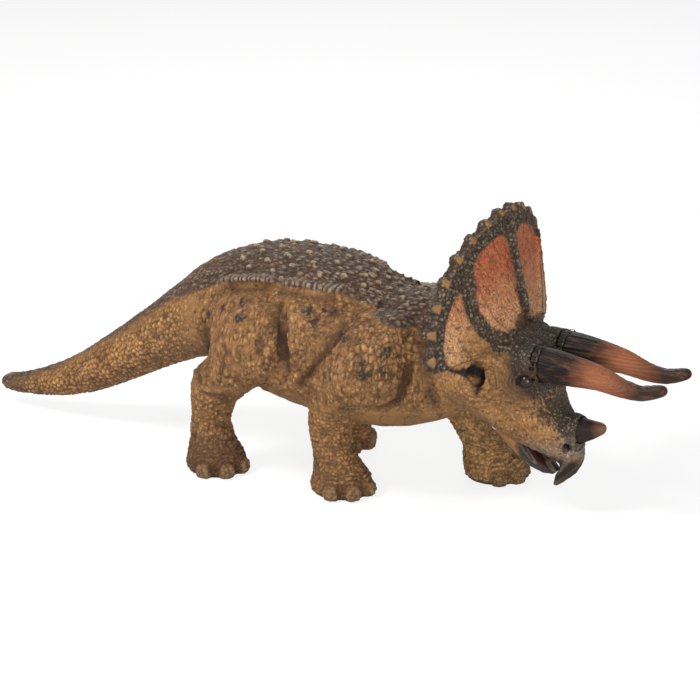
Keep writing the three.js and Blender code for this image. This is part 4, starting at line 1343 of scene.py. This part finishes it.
def coat(tree, shader, colour, roughness, gloss):
    """Gives a finish its colour, how rough it is and how much light it throws back."""
    feed(tree, shader.inputs["Base Color"], colour)
    feed(tree, shader.inputs["Roughness"], roughness)
    shader.inputs["Specular IOR Level"].default_value = gloss


print("shaders so far", [material.name for material in bpy.data.materials])

# %% [markdown]
# The bare hide is tan vinyl under a thin brown coat. Clouds make it warmer and cooler, each plate has
# its own tone, and pale tan sits on what stands proud and, as painted light, all over the far foreleg.
# This finish grows over the next cells, one coat at a time, in the order in which a painter would lay them.

# %% Tan hide
material, tree, shader = new_finish("painted_hide")
cloud = grain(tree, 9, detail=4)
speck = grain(tree, 0.9, detail=4, roughness=0.7)
pores = spread(tree, cells(tree, 0.8, stretch=(1, 1, 0.7)), 0, 0.12)
plate_tone = math(tree, "MULTIPLY", layer(tree, "tone"), 0.25)
warmth = math(tree, "ADD", plate_tone, math(tree, "MULTIPLY", cloud, 0.8))
hide = mix(tree, spread(tree, warmth, 0.32, 0.75), paint("7a5733"), paint("a2784b"))
hide = mix(tree, spread(tree, speck, 0.5, 0.75, 0, 0.35), hide, paint("74502f"))
hide = mix(tree, spread(tree, pores, 0, 1, 0.3, 0), hide, paint("5a3b22"))
# Pale paint on what stands proud, and painted light all over the far foreleg.
dry_brush_and_painted_light = math(tree, "MULTIPLY", layer(tree, "crown"), spread(tree, speck, 0.35, 0.6, 0.15, 0.55))
hide = mix(tree, dry_brush_and_painted_light, hide, paint("cda36c"))
print("nodes for the tan hide", len(tree.nodes))

# %% [markdown]
# The back is dark brown, and its bumps and pebbles are brushed with a greyish tan. The sculpt carries
# the larger pebbles. The smallest are finer than its squares, so they are cells in the paint. Clouds and
# the tone of the plates break up the edge between the back and the sides.

# %% Dark back
dark = mix(tree, spread(tree, speck, 0.35, 0.7), paint("2c241f"), paint("5c483a"))
dark = mix(tree, spread(tree, cloud, 0.5, 0.75, 0, 0.5), dark, paint("7a5237"))
pebble_tops = spread(tree, cells(tree, 1), 0.14, 0.34)
pebble_tops = math(tree, "MULTIPLY", pebble_tops, spread(tree, speck, 0.4, 0.6))
proud_paint = math(tree, "MULTIPLY", layer(tree, "crown"), spread(tree, speck, 0.35, 0.65, 0.2, 0.95))
dark = mix(tree, math(tree, "MULTIPLY", pebble_tops, 0.4), dark, paint("9c8b76"))
dark = mix(tree, proud_paint, dark, paint("b5a48b"))
ragged_edge = math(tree, "ADD", layer(tree, "back"), spread(tree, cloud, 0.3, 0.7, -0.25, 0.25))
ragged_edge = math(tree, "ADD", ragged_edge, spread(tree, layer(tree, "tone"), 0, 1, -0.15, 0.15))
hide = mix(tree, spread(tree, ragged_edge, 0.3, 0.7), hide, dark)
print("nodes with the back", len(tree.nodes))

# %% [markdown]
# The borders of the frill, the forehead and the blotches are smoky black with pale pebble tops. One coat
# serves them all, because they were painted from one pot: the `smoke` layer tells where it goes.

# %% Smoky borders
smoky = mix(tree, spread(tree, speck, 0.35, 0.65), paint("191a19"), paint("332f2a"))
brushed_tops = math(tree, "MULTIPLY", layer(tree, "crown"), spread(tree, speck, 0.35, 0.6))
smoky_tops = math(tree, "MAXIMUM", pebble_tops, brushed_tops)
smoky = mix(tree, math(tree, "MULTIPLY", smoky_tops, 0.8), smoky, paint("8b826c"))
smoke_share = math(tree, "MULTIPLY", layer(tree, "smoke"), spread(tree, speck, 0.2, 0.5, 0.8, 1))
hide = mix(tree, smoke_share, hide, smoky)
print("nodes with the borders", len(tree.nodes))

# %% [markdown]
# The fields of the frill are burnt orange in blotches, with dark flecks, and fade to pale tan low down
# near the cheeks. The fade could be one more layer. It runs straight up, so the height will do.

# %% Orange fields
fade_low, fade_high = 52 * mm, 72 * mm
flame = mix(tree, spread(tree, grain(tree, 2.5, detail=4), 0.35, 0.7), paint("ab553a"), paint("b67349"))
height = tree.nodes.new("ShaderNodeSeparateXYZ")
feed(tree, height.inputs["Vector"], position(tree))
low_flame = spread(tree, height.outputs["Z"], fade_low, fade_high, 0.95, 0)
flame = mix(tree, low_flame, flame, paint("cca277"))
flame = mix(tree, spread(tree, speck, 0.5, 0.68, 0, 0.55), flame, paint("74412a"))
flame = mix(tree, spread(tree, pores, 0, 1, 0.5, 0), flame, paint("5c3622"))
hide = mix(tree, layer(tree, "orange"), hide, flame)
print("nodes with the fields", len(tree.nodes))

# %% [markdown]
# The snout is dusty grey, and the beak nearly black with pale worn lines. Nails are the colour of horn,
# and the tips of the frill's knobs are worn to ochre. All of them were painted after the large coats,
# so they are mixed over them.

# %% Snout, beak, nails and knobs
snout = mix(tree, spread(tree, speck, 0.35, 0.65), paint("4e453f"), paint("95887c"))
hide = mix(tree, layer(tree, "snout"), hide, snout)
line_paint = math(tree, "MULTIPLY", layer(tree, "beak_lines"), spread(tree, speck, 0.35, 0.65, 0.05, 0.5))
beak_paint = mix(tree, line_paint, paint("1b1716"), paint("8a806d"))
hide = mix(tree, layer(tree, "beak"), hide, beak_paint)
hide = mix(tree, layer(tree, "nail"), hide, mix(tree, speck, paint("5a4530"), paint("957754")))
knob_paint = mix(tree, spread(tree, speck, 0.35, 0.65), paint("3a2d20"), paint("8a6e46"))
knob_share = math(tree, "MULTIPLY", layer(tree, "ochre"), spread(tree, speck, 0.38, 0.56, 0.25, 1))
hide = mix(tree, knob_share, hide, knob_paint)
print("nodes with the small parts", len(tree.nodes))

# %% [markdown]
# Last comes painted shade, from the `shade` layer. Then comes the wash, thinned paint that runs off what
# is proud and dries in what is deep, and near-black paint in the ear, nostril and eye sockets with a
# painted shadow under the toes. They lie over all the other coats and tie them together. The finish is
# matt, because vinyl paint hardly shines.

# %% Painted shade and washes
# Painted shade.
hide = mix(tree, math(tree, "MULTIPLY", layer(tree, "shade"), 0.75), hide, paint("33231a"))
hide = mix(tree, math(tree, "MULTIPLY", layer(tree, "groove"), 0.85), hide, paint("34211a"))
# Near-black paint, and a painted shadow under the toes.
hide = mix(tree, layer(tree, "soot"), hide, paint("171310"))
coat(tree, shader, hide, spread(tree, speck, 0.3, 0.7, 0.56, 0.7), 0.15)
raise_surface(tree, shader, math(tree, "ADD", pores, speck), 0.12)
for piece in hide_pieces.values():
    piece.data.materials.append(material)
print("hide painted on", len(hide_pieces), "pieces")

# %% [markdown]
# The horns are dark at the root, reddish brown in the middle and dark again at the point. The layer
# `along` runs from root to tip, so the bands bend with the horn, which a band across the toy wouldn't.
# The nose horn only grows lighter towards its point.

# %% Horn paint
material, tree, shader = new_finish("painted_horn")
speck = grain(tree, 1.2, stretch=(0.3, 1, 1), detail=4)
along = math(tree, "ADD", layer(tree, "along"), spread(tree, speck, 0.3, 0.7, -0.03, 0.03))
horn = mix(tree, spread(tree, along, 0.26, 0.46), paint("120e0d"), paint("7e4d34"))
horn = mix(tree, spread(tree, along, 0.56, 0.8), horn, paint("2a1e19"))
horn = mix(tree, spread(tree, speck, 0.5, 0.8, 0, 0.18), horn, paint("a87457"))
horn = mix(tree, math(tree, "MULTIPLY", layer(tree, "groove"), 0.4), horn, paint("241813"))
horn_roughness, horn_gloss, horn_grain = 0.45, 0.1, 0.08
coat(tree, shader, horn, horn_roughness, horn_gloss)
raise_surface(tree, shader, speck, horn_grain)
for node in ("right_brow_horn", "left_brow_horn"):
    horn_pieces[node].data.materials.append(material)

material, tree, shader = new_finish("dark_horn")
speck = grain(tree, 1, stretch=(0.4, 1, 1), detail=4)
horn = mix(tree, spread(tree, layer(tree, "along"), 0.66, 0.98), paint("1f1816"), paint("634530"))
horn = mix(tree, spread(tree, speck, 0.5, 0.8, 0, 0.2), horn, paint("5e4a3a"))
coat(tree, shader, horn, horn_roughness, horn_gloss)
raise_surface(tree, shader, speck, horn_grain)
horn_pieces["nose_horn"].data.materials.append(material)
print("horns painted", list(horn_pieces))

# %% [markdown]
# The lower jaw has a tan throat, a dark bill with pale lines, and a dark red mouth. It has a finish of
# its own, because its layers mean other things than those of the hide.

# %% Jaw paint
material, tree, shader = new_finish("painted_jaw")
speck = grain(tree, 0.8, detail=4)
throat = mix(tree, spread(tree, speck, 0.3, 0.7), paint("654628"), paint("8b643c"))
jaw_paint = mix(tree, spread(tree, speck, 0.3, 0.7), paint("1c1817"), paint("38302c"))
jaw_paint = mix(tree, layer(tree, "horny"), throat, jaw_paint)
jaw_paint = mix(tree, layer(tree, "mouth"), jaw_paint, paint("270d0b"))
jaw_lines = math(tree, "MULTIPLY", layer(tree, "groove"), layer(tree, "horny"))
jaw_paint = mix(tree, math(tree, "MULTIPLY", jaw_lines, 0.5), jaw_paint, paint("7c7161"))
coat(tree, shader, jaw_paint, 0.5, 0.15)
raise_surface(tree, shader, speck, 0.08)
jaw_piece.data.materials.append(material)
print("jaw painted with", len(tree.nodes), "nodes")

# %% [markdown]
# The eye is glossy black paint with a brown shimmer. The jaw pin is drawn steel wire, which is hidden in
# the cheeks. The packed pin is round enough to be shown as it is, so it only gets a new finish, with
# scratches along its length.

# %% Eye and pin
material, tree, shader = new_finish("eye_gloss")
iris = mix(tree, grain(tree, 0.5), paint("14100d"), paint("2e2013"))
coat(tree, shader, iris, 0.16, 0.25)
for eye in eyes:
    eye.data.materials.append(material)

material, tree, shader = new_finish("drawn_wire")
scratches = grain(tree, 0.4, stretch=(1, 0.05, 1))
feed(tree, shader.inputs["Base Color"], mix(tree, scratches, paint("a9acad"), paint("d0d2d3")))
shader.inputs["Metallic"].default_value = 1
feed(tree, shader.inputs["Roughness"], spread(tree, scratches, 0.3, 0.7, 0.25, 0.4))
pin = frame["nodes"]["jaw_pin"]
pin.data.materials.clear()
pin.data.materials.append(material)
print("materials", [m.name for m in bpy.data.materials])

# %% [markdown]
# The sculpt should hardly have changed the toy's size.

# %% Size
import json
